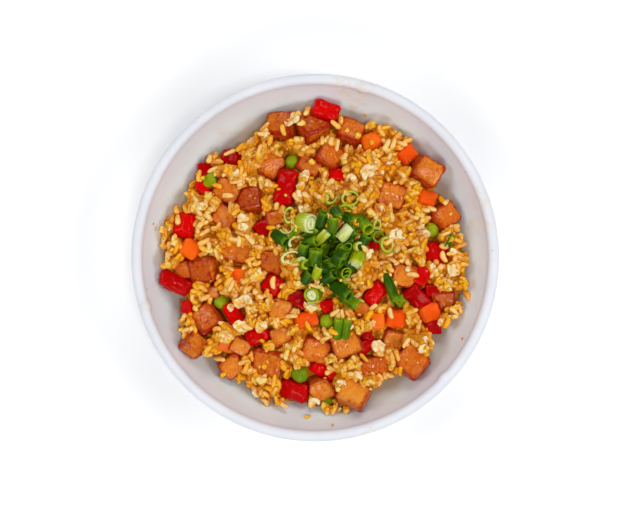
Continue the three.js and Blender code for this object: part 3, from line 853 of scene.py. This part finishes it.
def make_bed(heights):
    """What lies between the loose grains, lumpy with rice and egg, and closed below along the bowl."""
    level = heights.bed_level()
    turn = np.arange(BED_SEGMENTS) * TURN / BED_SEGMENTS
    edge = outline_radius(turn) + np.minimum(ragged(turn), 0) - BED_INSET
    shares = np.linspace(0, 1, int(max(OUTLINE) / BED_STEP) + 1)[1:]
    profile = [(share, True) for share in shares] + [(share, False) for share in BED_UNDERSIDE]
    rings, lifts = [], []
    for share, is_top in profile:
        x, y = share * edge * np.cos(turn), share * edge * np.sin(turn)
        on_bowl = wall_height(np.hypot(x, y)) + BED_ABOVE_BOWL
        flat = np.stack([x, y], axis=1)
        relief = 0.75 * waves(flat, 2.4, seed=21, count=24) + 0.5 * waves(flat, 4.1, seed=22, count=24)
        z = np.maximum(level[heights.cell(x, y)] - BED_SINK + 0.6 * relief, on_bowl)
        if share > BED_BLEND:
            z = (z + on_bowl) / 2
        rings.append(np.stack([x, y, z if is_top else on_bowl], axis=1))
        lifts.append(relief)
    middle = [[(0, 0, rings[0][:, 2].mean())], [(0, 0, FLOOR_TOP + BED_ABOVE_BOWL)]]
    faces = [face[::-1] for face in closed_faces(len(rings), BED_SEGMENTS)]
    made = Batch()
    made.add(np.concatenate(rings + middle), faces, height=np.concatenate(lifts + [[0], [0]]))
    piece = made.piece("rice_bed", bed_finish())
    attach(piece, "root")
    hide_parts("rice_heap")


def grain_mesh(name, bend, taper, seed):
    """A cooked grain of unit half-length and radius: a bent, slightly flat spindle with blunt ends."""
    rings, sides = 7, 8
    along = -np.cos(np.linspace(0, math.pi, rings + 2))[1:-1]
    fat = (1 - np.abs(along) ** 4) ** 0.5 * (1 + taper * along)
    fat *= 1 + 0.08 * np.random.default_rng(seed).uniform(-1, 1, rings)
    profile = [(0, -1), *zip(fat, along), (0, 1)]
    points, faces = lathe(profile, sides)
    points = points[:, [2, 0, 1]]
    points[:, 1] += bend * (points[:, 0] ** 2 - 0.4)
    points[:, 2] *= 0.9
    made = Batch()
    made.add(points / MM, faces, own=points)
    return made.piece(name, None)


def crumb_mesh(name, seed):
    """A lumpy crumb of unit radius."""
    sides, rings = 8, 5
    along = -np.cos(np.linspace(0, math.pi, rings + 2))
    profile = [(math.sqrt(max(0, 1 - z * z)), z) for z in along]
    points, faces = lathe(profile, sides)
    points *= (1 + 0.3 * waves(points, 0.8, seed))[:, None]
    made = Batch()
    made.add(points / MM, faces, own=points)
    return made.piece(name, None)


def scatter_tree(collection):
    """A tree that sets a shape of a collection on each point, turned and sized by the point's own values."""
    tree = bpy.data.node_groups.new("scatter_" + collection.name, "GeometryNodeTree")
    for name, kind in (("Points", "Geometry"), ("Size", "Float"), ("Finish", "Material")):
        tree.interface.new_socket(name, in_out="INPUT", socket_type="NodeSocket" + kind)
    tree.interface.new_socket("Scattered", in_out="OUTPUT", socket_type="NodeSocketGeometry")

    def add(kind, settings=None, inputs=None):
        made = tree.nodes.new(kind)
        for name, value in (settings or {}).items():
            setattr(made, name, value)
        for key, value in (inputs or {}).items():
            if isinstance(value, bpy.types.NodeSocket):
                tree.links.new(value, made.inputs[key])
            else:
                made.inputs[key].default_value = value
        return made

    def read(name, kind):
        node = add("GeometryNodeInputNamedAttribute", {"data_type": kind}, {"Name": name})
        return node.outputs["Attribute"]

    given = add("NodeGroupInput")
    shapes = add("GeometryNodeCollectionInfo", {}, {"Collection": collection, "Separate Children": True})
    turn = add("FunctionNodeEulerToRotation", {}, {"Euler": read("turn", "FLOAT_VECTOR")})
    size = add("ShaderNodeVectorMath", {"operation": "SCALE"}, {
        0: read("size", "FLOAT_VECTOR"), "Scale": given.outputs[1],
    })
    placed = add("GeometryNodeInstanceOnPoints", {}, {
        "Points": given.outputs[0], "Instance": shapes.outputs[0], "Pick Instance": True,
        "Instance Index": read("shape", "INT"), "Rotation": turn.outputs[0], "Scale": size.outputs[0],
    })
    real = add("GeometryNodeRealizeInstances", {}, {"Geometry": placed.outputs[0]})
    painted = add("GeometryNodeSetMaterial", {}, {"Geometry": real.outputs[0], "Material": given.outputs[2]})
    out = add("NodeGroupOutput")
    tree.links.new(painted.outputs[0], out.inputs[0])
    return tree


def scatter(name, shapes, rows, finish):
    """One piece with a shape on each row of place, turn, size, tone and shape number."""
    collection = bpy.data.collections.new(name + "_shapes")
    for shape in shapes:
        bpy.context.scene.collection.objects.unlink(shape)
        collection.objects.link(shape)
    mesh = bpy.data.meshes.new(name)
    place, turn, size, tone, number = (np.array(column, float) for column in zip(*rows))
    mesh.from_pydata((place * MM).tolist(), [], [])
    for value_name, values in (("turn", turn), ("size", size), ("tone", tone)):
        keep_values(mesh, value_name, values)
    mesh.attributes.new("shape", "INT", "POINT").data.foreach_set("value", number.astype(int))
    holder = add_object("holder", mesh)
    modifier = holder.modifiers.new("scatter", "NODES")
    modifier.node_group = scatter_tree(collection)
    sockets = {item.name: item.identifier for item in modifier.node_group.interface.items_tree}
    modifier[sockets["Size"]] = MM
    modifier[sockets["Finish"]] = finish
    made = finished_mesh(holder)
    made.shade_smooth()
    for shape in list(collection.objects):
        bpy.data.objects.remove(shape)
    piece = add_object(name, made)
    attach(piece, "root")
    return piece


def lowest_of(draw, heights, tries, topping_share):
    """The place that lies lowest against the lumpy heap among a few drawn over it."""
    best = None
    while best is None:
        for _ in range(tries):
            angle = draw.uniform(0, TURN)
            radius = math.sqrt(draw.uniform()) * float(outline_radius(angle) + ragged(angle))
            x, y = radius * math.cos(angle), radius * math.sin(angle)
            i, j = heights.cell(np.array(x), np.array(y))
            if heights.topping[i, j] and draw.uniform() > topping_share:
                continue
            depth = heights.top[i, j] - heights.target[i, j]
            if best is None or depth < best[0]:
                best = (depth, x, y)
    return best[1:]


def lay_grain(draw, heights, x, y, half, fat, yaw):
    """Lays a grain on what is there and returns its place and turn."""
    along = np.linspace(-half, half, 9)
    cos, sin = math.cos(yaw), math.sin(yaw)
    ground = heights.at(x + along * cos, y + along * sin)
    climb = (ground[5:].max() - ground[:4].max()) / (1.25 * half)
    slope = float(np.clip(climb, -STEEPEST_GRAIN, STEEPEST_GRAIN))
    slope += draw.uniform(-0.18, 0.18)
    over = np.sort(ground - slope * along)
    z = over[-2] + 0.62 * fat
    s, t = np.meshgrid(np.linspace(-0.92, 0.92, 13) * half, np.linspace(-0.8, 0.8, 5) * fat)
    rise = 0.85 * np.sqrt(np.maximum(0, fat ** 2 - t ** 2)) * np.sqrt(1 - (s / half) ** 2 * 0.8)
    top = z + slope * s + rise
    heights.cover((x + s * cos - t * sin).ravel(), (y + s * sin + t * cos).ravel(), top.ravel())
    return (x, y, z), (draw.uniform(0, TURN), -math.atan(slope), yaw)


def make_rice(heights):
    """Grains laid one by one; neighbours lie alike, paler or deeper in clumps, and low ones get painted
    shade.
    """
    draw = np.random.default_rng(5)
    rows = []
    for _ in range(GRAIN_COUNT):
        x, y = lowest_of(draw, heights, tries=4, topping_share=0.02)
        half = GRAIN_HALF_LENGTH * draw.uniform(*GRAIN_LENGTHS)
        half *= BROKEN_LENGTH if draw.uniform() < BROKEN_SHARE else 1
        fat = GRAIN_RADIUS * draw.uniform(*GRAIN_WIDTHS)
        lie, clump = (float(waves(np.array([[x, y]]), size, seed)[0]) for size, seed in ((13, 30), (10, 31)))
        yaw = 2.4 * lie + draw.normal() * 0.5
        place, turn = lay_grain(draw, heights, x, y, half, fat, yaw)
        # How far a grain lies below the heap's surface raises its tone, for painted shade on low grains.
        deep = (heights.target[heights.cell(np.array(x), np.array(y))] - place[2]) / 3
        tone = float(np.clip(0.4 + 0.25 * clump + draw.uniform(-0.45, 0.45), 0, 1) + np.clip(deep, 0, 1))
        rows.append((place, turn, (half, fat, fat), tone, draw.integers(len(GRAIN_SHAPES))))
    shapes = [grain_mesh(f"grain_{k}", bend, taper, k) for k, (bend, taper) in enumerate(GRAIN_SHAPES)]
    return scatter("rice_grains", shapes, rows, rice_finish())


# Crumbs that fell on the bowl's wall. A row is x, y and radius.
WALL_CRUMBS = (
    (-4.8, -95, 1.7), (10.4, -99, 0.8), (79, -42, 1.3), (87, -48, 0.7), (30, 86, 1.0), (-96, 20, 0.6),
)


def make_crumbs(heights):
    """Curds and crumbs of egg that cling together among the grains."""
    draw = np.random.default_rng(8)
    rows = []
    while len(rows) < CRUMB_COUNT:
        x, y = lowest_of(draw, heights, tries=2, topping_share=0.06)
        if waves(np.array([[x, y]]), size=7, seed=33)[0] < draw.normal() * 0.5:
            continue
        size = CRUMB_SMALLEST + CRUMB_RANGE * draw.uniform() ** CRUMB_POWER
        spread = np.linspace(-0.7, 0.7, 4) * size
        s, t = np.meshgrid(spread, spread)
        z = float(np.sort(heights.at(x + s, y + t).ravel())[-4]) + 0.2 * size
        heights.cover((x + s).ravel(), (y + t).ravel(), np.full(s.size, z + 0.5 * size))
        shape = size * draw.uniform(0.6, 1.5, 3)
        rows.append(((x, y, z), draw.uniform(0, TURN, 3), shape, draw.uniform(), draw.integers(CRUMB_SHAPES)))
    for x, y, size in WALL_CRUMBS:
        z = float(wall_height(math.hypot(x, y))) + 0.6 * size
        turn, shape = draw.uniform(0, TURN, 3), size * draw.uniform(0.8, 1.2, 3)
        rows.append(((x, y, z), turn, shape, 0.5, draw.integers(CRUMB_SHAPES)))
    shapes = [crumb_mesh(f"crumb_{k}", 40 + k) for k in range(CRUMB_SHAPES)]
    finish = egg_finish("egg_crumbs", linear(242, 174, 8), linear(246, 206, 92), 0.58)
    return scatter("egg_crumbs", shapes, rows, finish)


def settle(points, heights, share, sink, spread=((0, 0),)):
    """Sets points down with a share of them clear of the grid, sinks them and raises the grid to them."""
    under = heights.at(points[:, 0], points[:, 1]) - points[:, 2]
    points[:, 2] += float(np.quantile(under, share)) - sink
    for x_step, y_step in spread:
        heights.cover(points[:, 0] + x_step, points[:, 1] + y_step, points[:, 2])
    return points


def make_curds(heights):
    """Fluffy lumps of egg set among the grains."""
    draw = np.random.default_rng(9)
    made = Batch()
    profile = [(math.cos(rise), math.sin(rise)) for rise in np.linspace(-0.5, 0.5, 9) * math.pi]
    ball, faces = lathe(profile, CURD_SEGMENTS)
    for seed in range(CURD_COUNT):
        x, y = lowest_of(draw, heights, tries=3, topping_share=0.02)
        points = ball * [draw.uniform(low, high) for low, high in CURD_SIZES]
        lumps = 0.16 * waves(points, 1.6, 300 + 3 * seed) + 0.13 * waves(points, 0.7, 301 + 3 * seed, 20)
        points *= (1 + lumps)[:, None]
        points = laid(points, x, y, draw.uniform(0, TURN), draw.uniform(-0.4, 0.4, 2), 0)
        made.add(settle(points, heights, share=0.8, sink=1.0), faces, tone=draw.uniform())
    finish = egg_finish("egg_curds", linear(244, 176, 10), linear(248, 216, 122), 0.54)
    piece = made.piece("egg_curds", finish)
    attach(piece, "root")
    return piece


# Larger flakes of egg. A row is x, y, length, width and yaw.
FLAKES = (
    (-40, -25, 12, 8, 20), (-43, -40, 11, 8, -40), (-31, -40, 9, 7, 60), (-52, -46, 10, 7, 0),
    (-14, 79, 9, 6, 30), (37, -52, 10, 7, -20), (-35, -11, 9, 7, 50), (-6, 47, 8, 6, 80), (63, 14, 9, 7, 10),
    (-3, -28, 9, 6, -30), (45, 14, 8, 6, 30), (-66, 30, 8, 6, 10), (30, 50, 9, 7, -50), (80, -8, 10, 8, 20),
    (-36, 68, 9, 6, 0),
)
SMALL_FLAKE_COUNT = 60
FLAKE_HALF_THICKNESS = 0.5
FLAKE_SEGMENTS = 36


def flake_mesh(length, width, seed):
    """A thin, ragged and wavy flake, closed all round."""
    thick = FLAKE_HALF_THICKNESS
    profile = [
        (0, thick), (0.3, thick), (0.6, thick), (0.85, 0.8 * thick), (0.97, 0.3 * thick),
        (0.97, -0.3 * thick), (0.85, -0.8 * thick), (0.5, -thick), (0, -thick),
    ]
    points, faces = lathe(profile, FLAKE_SEGMENTS)
    angle = np.arctan2(points[:, 1], points[:, 0])
    round_way = np.stack([np.cos(angle), np.sin(angle)], axis=1)
    points[:, :2] *= (1 + 0.2 * waves(round_way, 1.5, seed) + 0.07 * waves(round_way, 0.3, seed + 1))[:, None]
    points[:, :2] *= (length / 2, width / 2)
    points[:, 2] += 0.7 * waves(points[:, :2], 2.0, seed + 2) + 0.4 * waves(points[:, :2], 0.9, seed + 3)
    return points, [face[::-1] for face in faces]


def make_flakes(heights):
    """The larger flakes at their places, and small ones strewn over the heap."""
    draw = np.random.default_rng(12)
    rows = [(x * SPREAD, y * SPREAD, length, width, yaw) for x, y, length, width, yaw in FLAKES]
    for _ in range(SMALL_FLAKE_COUNT):
        x, y = lowest_of(draw, heights, tries=1, topping_share=0.12)
        rows.append((x, y, draw.uniform(3.5, 7), draw.uniform(2.5, 5), draw.uniform(0, 180)))
    made = Batch()
    for seed, (x, y, length, width, yaw) in enumerate(rows):
        points, faces = flake_mesh(length, width, 70 + 5 * seed)
        points = laid(points, x, y, math.radians(yaw), draw.uniform(-0.4, 0.4, 2), 0)
        made.add(settle(points, heights, share=0.85, sink=0.2), faces, tone=draw.uniform())
    finish = egg_finish("egg_flakes", linear(246, 188, 44), linear(252, 234, 184), 0.46)
    piece = made.piece("egg_flakes", finish)
    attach(piece, "root")
    return piece


# Spring onion. A row is x, y, radius, sweep of the wall, length, wall, squash, yaw, pitch and how pale it is.
# Pitch 90 stands it on its end. A sweep of 360 is a closed tube, less is a cut-open curl and more is a roll.
ONION = (
    (-15, 24, 5.8, 360, 3.8, 1.7, 0.5, 80, 72, 0.45),
    (9, 34, 5.2, 300, 3.2, 1.7, 0.6, 60, 70, 0.35),
    (20, 34, 5.6, 360, 3.2, 1.7, 0.9, 0, 80, 0.4),
    (17, 26, 5.8, 210, 3.2, 1.7, 0.8, 30, 66, 0.3),
    (12, 26, 3.4, 250, 7, 1, 0.9, -60, 20, 0.08),
    (20, 22, 3.6, 300, 7.5, 1, 0.9, -35, 24, 0.12),
    (-16, 17, 4.8, 190, 3.4, 1.7, 0.8, 190, 62, 0.5),
    (22, 14, 3.3, 250, 6, 1, 0.9, 40, 30, 0.1),
    (-14, 4, 4.4, 160, 4, 1.2, 0.9, 60, 40, 0.45),
    (35, 19, 3, 360, 3.8, 1, 1, 0, 60, 0.5),
    (36, 12, 4.1, 360, 3.2, 1.7, 0.9, 0, 76, 0.12),
    (41, 7, 5, 360, 3.8, 1.7, 0.8, 80, 70, 0.4),
    (-12, 9, 4.3, 200, 3.2, 1.7, 0.8, 40, 70, 0.72),
    (-14, 0, 6.4, 360, 3.2, 1.7, 0.55, 10, 72, 0.66),
    (-10, 13, 3.8, 90, 6.1, 1, 1, 60, 10, 0.3),
    (-20, 11, 3.9, 360, 10.5, 1, 0.85, -35, 30, 0.05),
    (-5, -4, 3.7, 250, 3.6, 1.7, 0.9, 20, 60, 0.3),
    (-4, -11, 3.8, 360, 7.7, 1, 0.85, 55, 18, 0.1),
    (5, -17, 3.5, 230, 3.1, 0.9, 0.9, 0, 70, 0.4),
    (25, -27, 3.8, 210, 3.2, 1.7, 0.8, 20, 70, 0.4),
    (15, -26, 7.1, 75, 16.5, 1, 1, -30, 6, 0.15),
    (8, -11, 3.8, 360, 8.2, 1, 0.85, 30, 18, 0.03),
    (9, -6, 5.9, 75, 9.9, 1, 1, 20, 12, 0.2),
    (17, -9, 3.5, 480, 4.8, 0.9, 1, 0, 62, 0.2),
    (28, 10, 3.9, 360, 9.4, 1, 0.85, 60, 24, 0.05),
    (25, 6, 3.7, 230, 3.6, 1.7, 0.9, 0, 60, 0.5),
    (2, -8, 3.8, 210, 7.2, 1, 0.9, 70, 16, 0.5),
    (7, 2, 5, 110, 9.4, 1, 1, 70, 12, 0.22),
    (18, 6, 3.3, 360, 2.4, 0.9, 0.7, 30, 72, 0.1),
    (-7, 4, 3.8, 360, 9.4, 1, 0.85, 78, 20, 0.16),
    (9, 13, 3.5, 360, 6.1, 1, 0.85, 10, 26, 0.02),
    (-2, 9, 3.7, 360, 7.7, 1, 0.85, 10, 34, 0.14),
    (4, 22, 3.7, 360, 9.4, 1, 0.85, 74, 24, 0.05),
    (10, 19, 3.7, 360, 9.9, 1, 0.85, 82, 28, 0.22),
    (28, 19, 3.9, 360, 10.5, 1, 0.9, -50, 34, 0.26),
    (5, 9, 6.1, 60, 9, 1, 1, 45, 14, 0.55),
    (-9, -3, 3.6, 150, 5.5, 1.5, 0.9, 20, 25, 0.62),
    (0, 0, 4.4, 360, 10.5, 1, 0.9, 84, 26, 0.18),
    (14, 0, 5, 560, 7.2, 1, 1, -30, 30, 0.05),
    (15, -19, 4.4, 360, 14.3, 1, 0.9, -36, 36, 0.04),
    (44, -18, 3.5, 300, 17.6, 1, 0.85, -70, 6, 0.13),
    (80, 9, 3.8, 110, 9, 1, 1, 60, 6, 0.12),
    (13.2, -40.5, 2.7, 360, 12.5, 0.9, 0.95, 86, 16, 0.26),
    (17.9, -41, 2.7, 360, 12, 0.9, 0.95, 80, 18, 0.22),
)
# Cut stems: an outer leaf about a core. A row is x, y, radius, length, yaw, pitch and how pale each one is.
STEMS = (
    (-5, 20, 5.9, 8.5, -15, 38, 0.64, 0.92),
    (17, 14, 3.8, 10, 48, 12, 0.78, 0.95),
    (-1, -21, 5.0, 6, -150, 58, 0.3, 0.82),
    (24, -1, 4.9, 9.5, -110, 38, 0.5, 0.92),
)
PILE_COUNT = 42
PILE_MIDDLE = (9, 3)
PILE_LENGTH, PILE_WIDTH = 23, 18
PILE_CLEAR = 0.8
# A leaf's points lie further apart than the grid's cells, so each one raises two cells beside its own.
LEAF_SPREAD = ((0, 0), (GRID_STEP, 0), (0, GRID_STEP))
# Rings of points along a leaf's outside, and as many along its inside.
LEAF_RINGS = 6


def wall_of_leaf(radius, sweep, length, wall, squash, seed):
    """A leaf's wall about the Z axis: a closed tube, an open curl or a roll, with its cut ends slanted."""
    draw = np.random.default_rng(seed)
    closed = sweep == 360
    around = max(12, int(sweep / 11))
    turn = np.radians(np.linspace(0, sweep, around, endpoint=not closed))
    inward = 0.16 * radius * np.maximum(0, turn - TURN * 0.75) if sweep > 360 else 0
    outer = radius * (1 + 0.05 * np.sin(2 * turn + draw.uniform(0, TURN))) - inward
    slant = draw.uniform(-0.28, 0.28)
    ends = np.linspace(-0.5, 0.5, LEAF_RINGS)
    bevel = 0.18 * wall
    loops = [(outer, end) for end in ends] + [(outer - wall, end) for end in ends[::-1]]
    count = len(loops)
    cut = (0, LEAF_RINGS - 1, LEAF_RINGS, count - 1)
    rows = []
    for k, (reach, end) in enumerate(loops):
        if k in cut:
            reach = reach + (bevel if k >= LEAF_RINGS else -bevel)
        x, y = reach * np.cos(turn), squash * reach * np.sin(turn)
        z = end * length + slant * x * abs(end) * 2 + 0.1 * np.sin(3 * turn + k)
        rows.append(np.stack([x, y, z], axis=1))
    points = np.concatenate(rows)
    faces = []
    for k in range(count):
        for m in range(around if closed else around - 1):
            a, b = k * around + m, k * around + (m + 1) % around
            c, d = ((k + 1) % count) * around + (m + 1) % around, ((k + 1) % count) * around + m
            faces.append([a, b, c, d])
    if not closed:
        for m, flip in ((0, False), (around - 1, True)):
            ring = [k * around + m for k in range(count)]
            for k in range(LEAF_RINGS - 1):
                quad = [ring[k], ring[k + 1], ring[count - 2 - k], ring[count - 1 - k]]
                faces.append(quad[::-1] if flip else quad)
    inside = np.repeat([1.0 if k >= LEAF_RINGS else 0.0 for k in range(count)], around)
    rim = np.repeat([1.0 if k in cut else 0.0 for k in range(count)], around)
    return points, faces, inside, rim


def posed(points, x, y, yaw, pitch):
    """Points along Z, laid down with a pitch and turned."""
    lean = math.radians(90 - pitch)
    tip = np.array([[math.cos(lean), 0, math.sin(lean)], [0, 1, 0], [-math.sin(lean), 0, math.cos(lean)]])
    return points @ (turn_about_z(math.radians(yaw)) @ tip).T + np.array((x, y, 0))


def in_pile(points, x, y, yaw, pitch, heights):
    """Points along Z, laid down and set a little into what already lies there."""
    lying = posed(points, x * SPREAD, y * SPREAD, yaw, pitch)
    return settle(lying, heights, share=0.8, sink=1.0, spread=LEAF_SPREAD)


def filler_row(draw, heights):
    """A short tube or curl of leaf for the emptiest of a few places in the pile, as a row of ONION."""
    places = []
    for _ in range(5):
        turn, away = draw.uniform(0, TURN), math.sqrt(draw.uniform())
        x = PILE_MIDDLE[0] + PILE_LENGTH * away * math.cos(turn)
        y = PILE_MIDDLE[1] + PILE_WIDTH * away * math.sin(turn)
        level = heights.at(np.array(x * SPREAD), np.array(y * SPREAD)) - heap_height(x, y) - mound_rise(x, y)
        places.append((float(level), x, y))
    _, x, y = min(places)
    sweep = (360, 360, 360, 240, 100)[draw.integers(5)]
    pitch = draw.uniform(0, 28) if sweep == 360 else draw.uniform(5, 60)
    return (x, y, draw.uniform(2.7, 3.9), sweep, draw.uniform(4, 7.5), 0.9, draw.uniform(0.7, 0.95),
            draw.uniform(0, 180), pitch, draw.uniform(0, 0.24))


def add_leaf(made, row, heights, seed):
    """A length of leaf, paler towards one end, inside and at its cuts."""
    x, y, radius, sweep, length, wall, squash, yaw, pitch, pale = row
    points, faces, inside, rim = wall_of_leaf(radius, sweep, length, wall, squash, seed)
    shade = pale + 0.06 * inside + 0.16 * rim + 0.16 * points[:, 2] / length
    made.add(in_pile(points, x, y, yaw, pitch, heights), faces, own=points * MM, pale=shade)


def add_stem(made, row, heights, seed):
    """A cut stem: an outer leaf about a solid core."""
    x, y, radius, length, yaw, pitch, skin, core = row
    layers = []
    for share, wall, pale in ((1.0, 0.28 * radius, skin), (0.7, 0.68 * radius, core)):
        points, faces, _, rim = wall_of_leaf(share * radius, 360, length, wall, 0.92, seed)
        layers.append((points, faces, pale + 0.12 * rim * (share == 1) + 0.2 * points[:, 2] / length))
    whole = np.concatenate([points for points, _, _ in layers])
    lying = in_pile(whole, x, y, yaw, pitch, heights)
    start = 0
    for points, faces, shade in layers:
        made.add(lying[start:start + len(points)], faces, own=points * MM, pale=shade)
        start += len(points)


def make_onion(heights):
    """The pile of spring onion: lengths that fill it, and on them those that the photograph shows."""
    draw = np.random.default_rng(17)
    made = Batch()
    for seed in range(PILE_COUNT):
        add_leaf(made, filler_row(draw, heights), heights, seed)
    for seed, row in enumerate(ONION):
        add_leaf(made, row, heights, PILE_COUNT + seed)
    for seed, row in enumerate(STEMS):
        add_stem(made, row, heights, 200 + 5 * seed)
    piece = made.piece("spring_onion", onion_finish())
    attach(piece, "root")
    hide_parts("spring_onion_heap", "spring_onion_stray")


# Stage. A light's row is name, place in metres, watts and size in metres.
LIGHTS = (
    ("right_light", (1.0, -0.1, 0.9), 5.25, 0.6), ("front_light", (-0.1, -1.0, 0.9), 5.15, 0.6),
    ("left_light", (-1.0, 0.1, 0.9), 4.4, 0.6), ("back_light", (0.1, 1.0, 0.9), 4.6, 0.6),
    ("top_light", (0.2, -0.15, 1.25), 2.6, 0.2),
)
ROOM_COLOUR, ROOM_LIGHT = (0.95, 0.97, 1.0, 1), 0.17
SENSOR_WIDTH = 36
# The floor's half side, and the distances in metres over which its glow grows from near to far.
FLOOR_HALF = 16
GLOW_FROM, GLOW_TO = 0.5, 1.8
GLOW_NEAR, GLOW_FAR = (0.12, 0.12, 0.12, 1), (0.8, 0.8, 0.8, 1)


def make_camera():
    """Straight above the bowl, at the height and shift that give the photograph's framing."""
    frame_width = 2 * RIM_RADIUS * IMAGE_WIDTH / BOWL_PIXELS_ACROSS
    camera_data = bpy.data.cameras.new("camera")
    camera_data.sensor_width = SENSOR_WIDTH
    camera_data.lens = SENSOR_WIDTH * CAMERA_ABOVE_RIM / frame_width
    camera_data.shift_x = (IMAGE_WIDTH / 2 - BOWL_PIXEL_X) / IMAGE_WIDTH
    camera_data.shift_y = (BOWL_PIXEL_Y - IMAGE_HEIGHT / 2) / IMAGE_WIDTH
    camera = add_object("camera", camera_data)
    camera.location = (0, 0, (BOWL_HEIGHT + CAMERA_ABOVE_RIM) * MM)
    bpy.context.scene.camera = camera
    bpy.context.scene.view_settings.view_transform = "Standard"


def make_lights():
    """Large soft lights from four sides and a small one from above, in a dim room."""
    world = bpy.data.worlds.new("studio")
    world.use_nodes = True
    background = world.node_tree.nodes["Background"]
    background.inputs["Color"].default_value = ROOM_COLOUR
    background.inputs["Strength"].default_value = ROOM_LIGHT
    bpy.context.scene.world = world
    for name, place, power, size in LIGHTS:
        light = bpy.data.lights.new(name, "AREA")
        light.size = size
        light.energy = power
        holder = add_object(name, light)
        holder.location = place
        holder.rotation_euler = Vector(place).to_track_quat("Z", "Y").to_euler()


def make_floor():
    """A white floor that glows more, the further it is from the bowl, so that it stays white to its end."""
    finish = Finish("floor", specular_ior_level=0.2, emission_strength=1)
    shade = finish.noise(300, 2).step(0.3, 0.7).blend(linear(250, 250, 251), linear(252, 252, 252))
    away = finish.node("ShaderNodeVectorMath", {"operation": "LENGTH"}, {0: finish.place}, "Value")
    glow = away.step(GLOW_FROM, GLOW_TO).blend(GLOW_NEAR, GLOW_FAR)
    mesh = bpy.data.meshes.new("floor")
    corners = [(x * FLOOR_HALF, y * FLOOR_HALF, 0) for x, y in ((-1, -1), (1, -1), (1, 1), (-1, 1))]
    mesh.from_pydata(corners, [], [(0, 1, 2, 3)])
    mesh.materials.append(finish.feed(base_color=shade, emission_color=glow))
    add_object("floor", mesh)


make_camera()
make_lights()
make_floor()
make_bowl()
heights = Heights()
for kind, margin in MARGINS.items():
    heights.cover_toppings([frame["nodes"][name] for name in nodes_of(kind)], margin)
heights.keep_clear(*PILE_MIDDLE, PILE_CLEAR * PILE_LENGTH, PILE_CLEAR * PILE_WIDTH)
for kind, piece_name, finish, slot, form, small_rows in (
    ("meat", "meat_cubes", meat_finish(), "luncheon_meat", MEAT_FORM, SMALL_MEAT),
    ("pepper", "pepper_pieces", pepper_finish(), "red_pepper", PEPPER_FORM, SMALL_PEPPER),
    ("carrot", "carrot_dice", carrot_finish(), "carrot", CARROT_FORM, SMALL_CARROT),
    ("pea", "peas", pea_finish(), "pea", PEA_FORM, SMALL_PEAS),
):
    make_toppings(kind, piece_name, finish, form, small_rows, heights)
loose = [make_rice(heights), make_curds(heights), make_flakes(heights), make_crumbs(heights)]
make_bed(heights)
mark_hollows(loose, heights)
make_onion(heights)
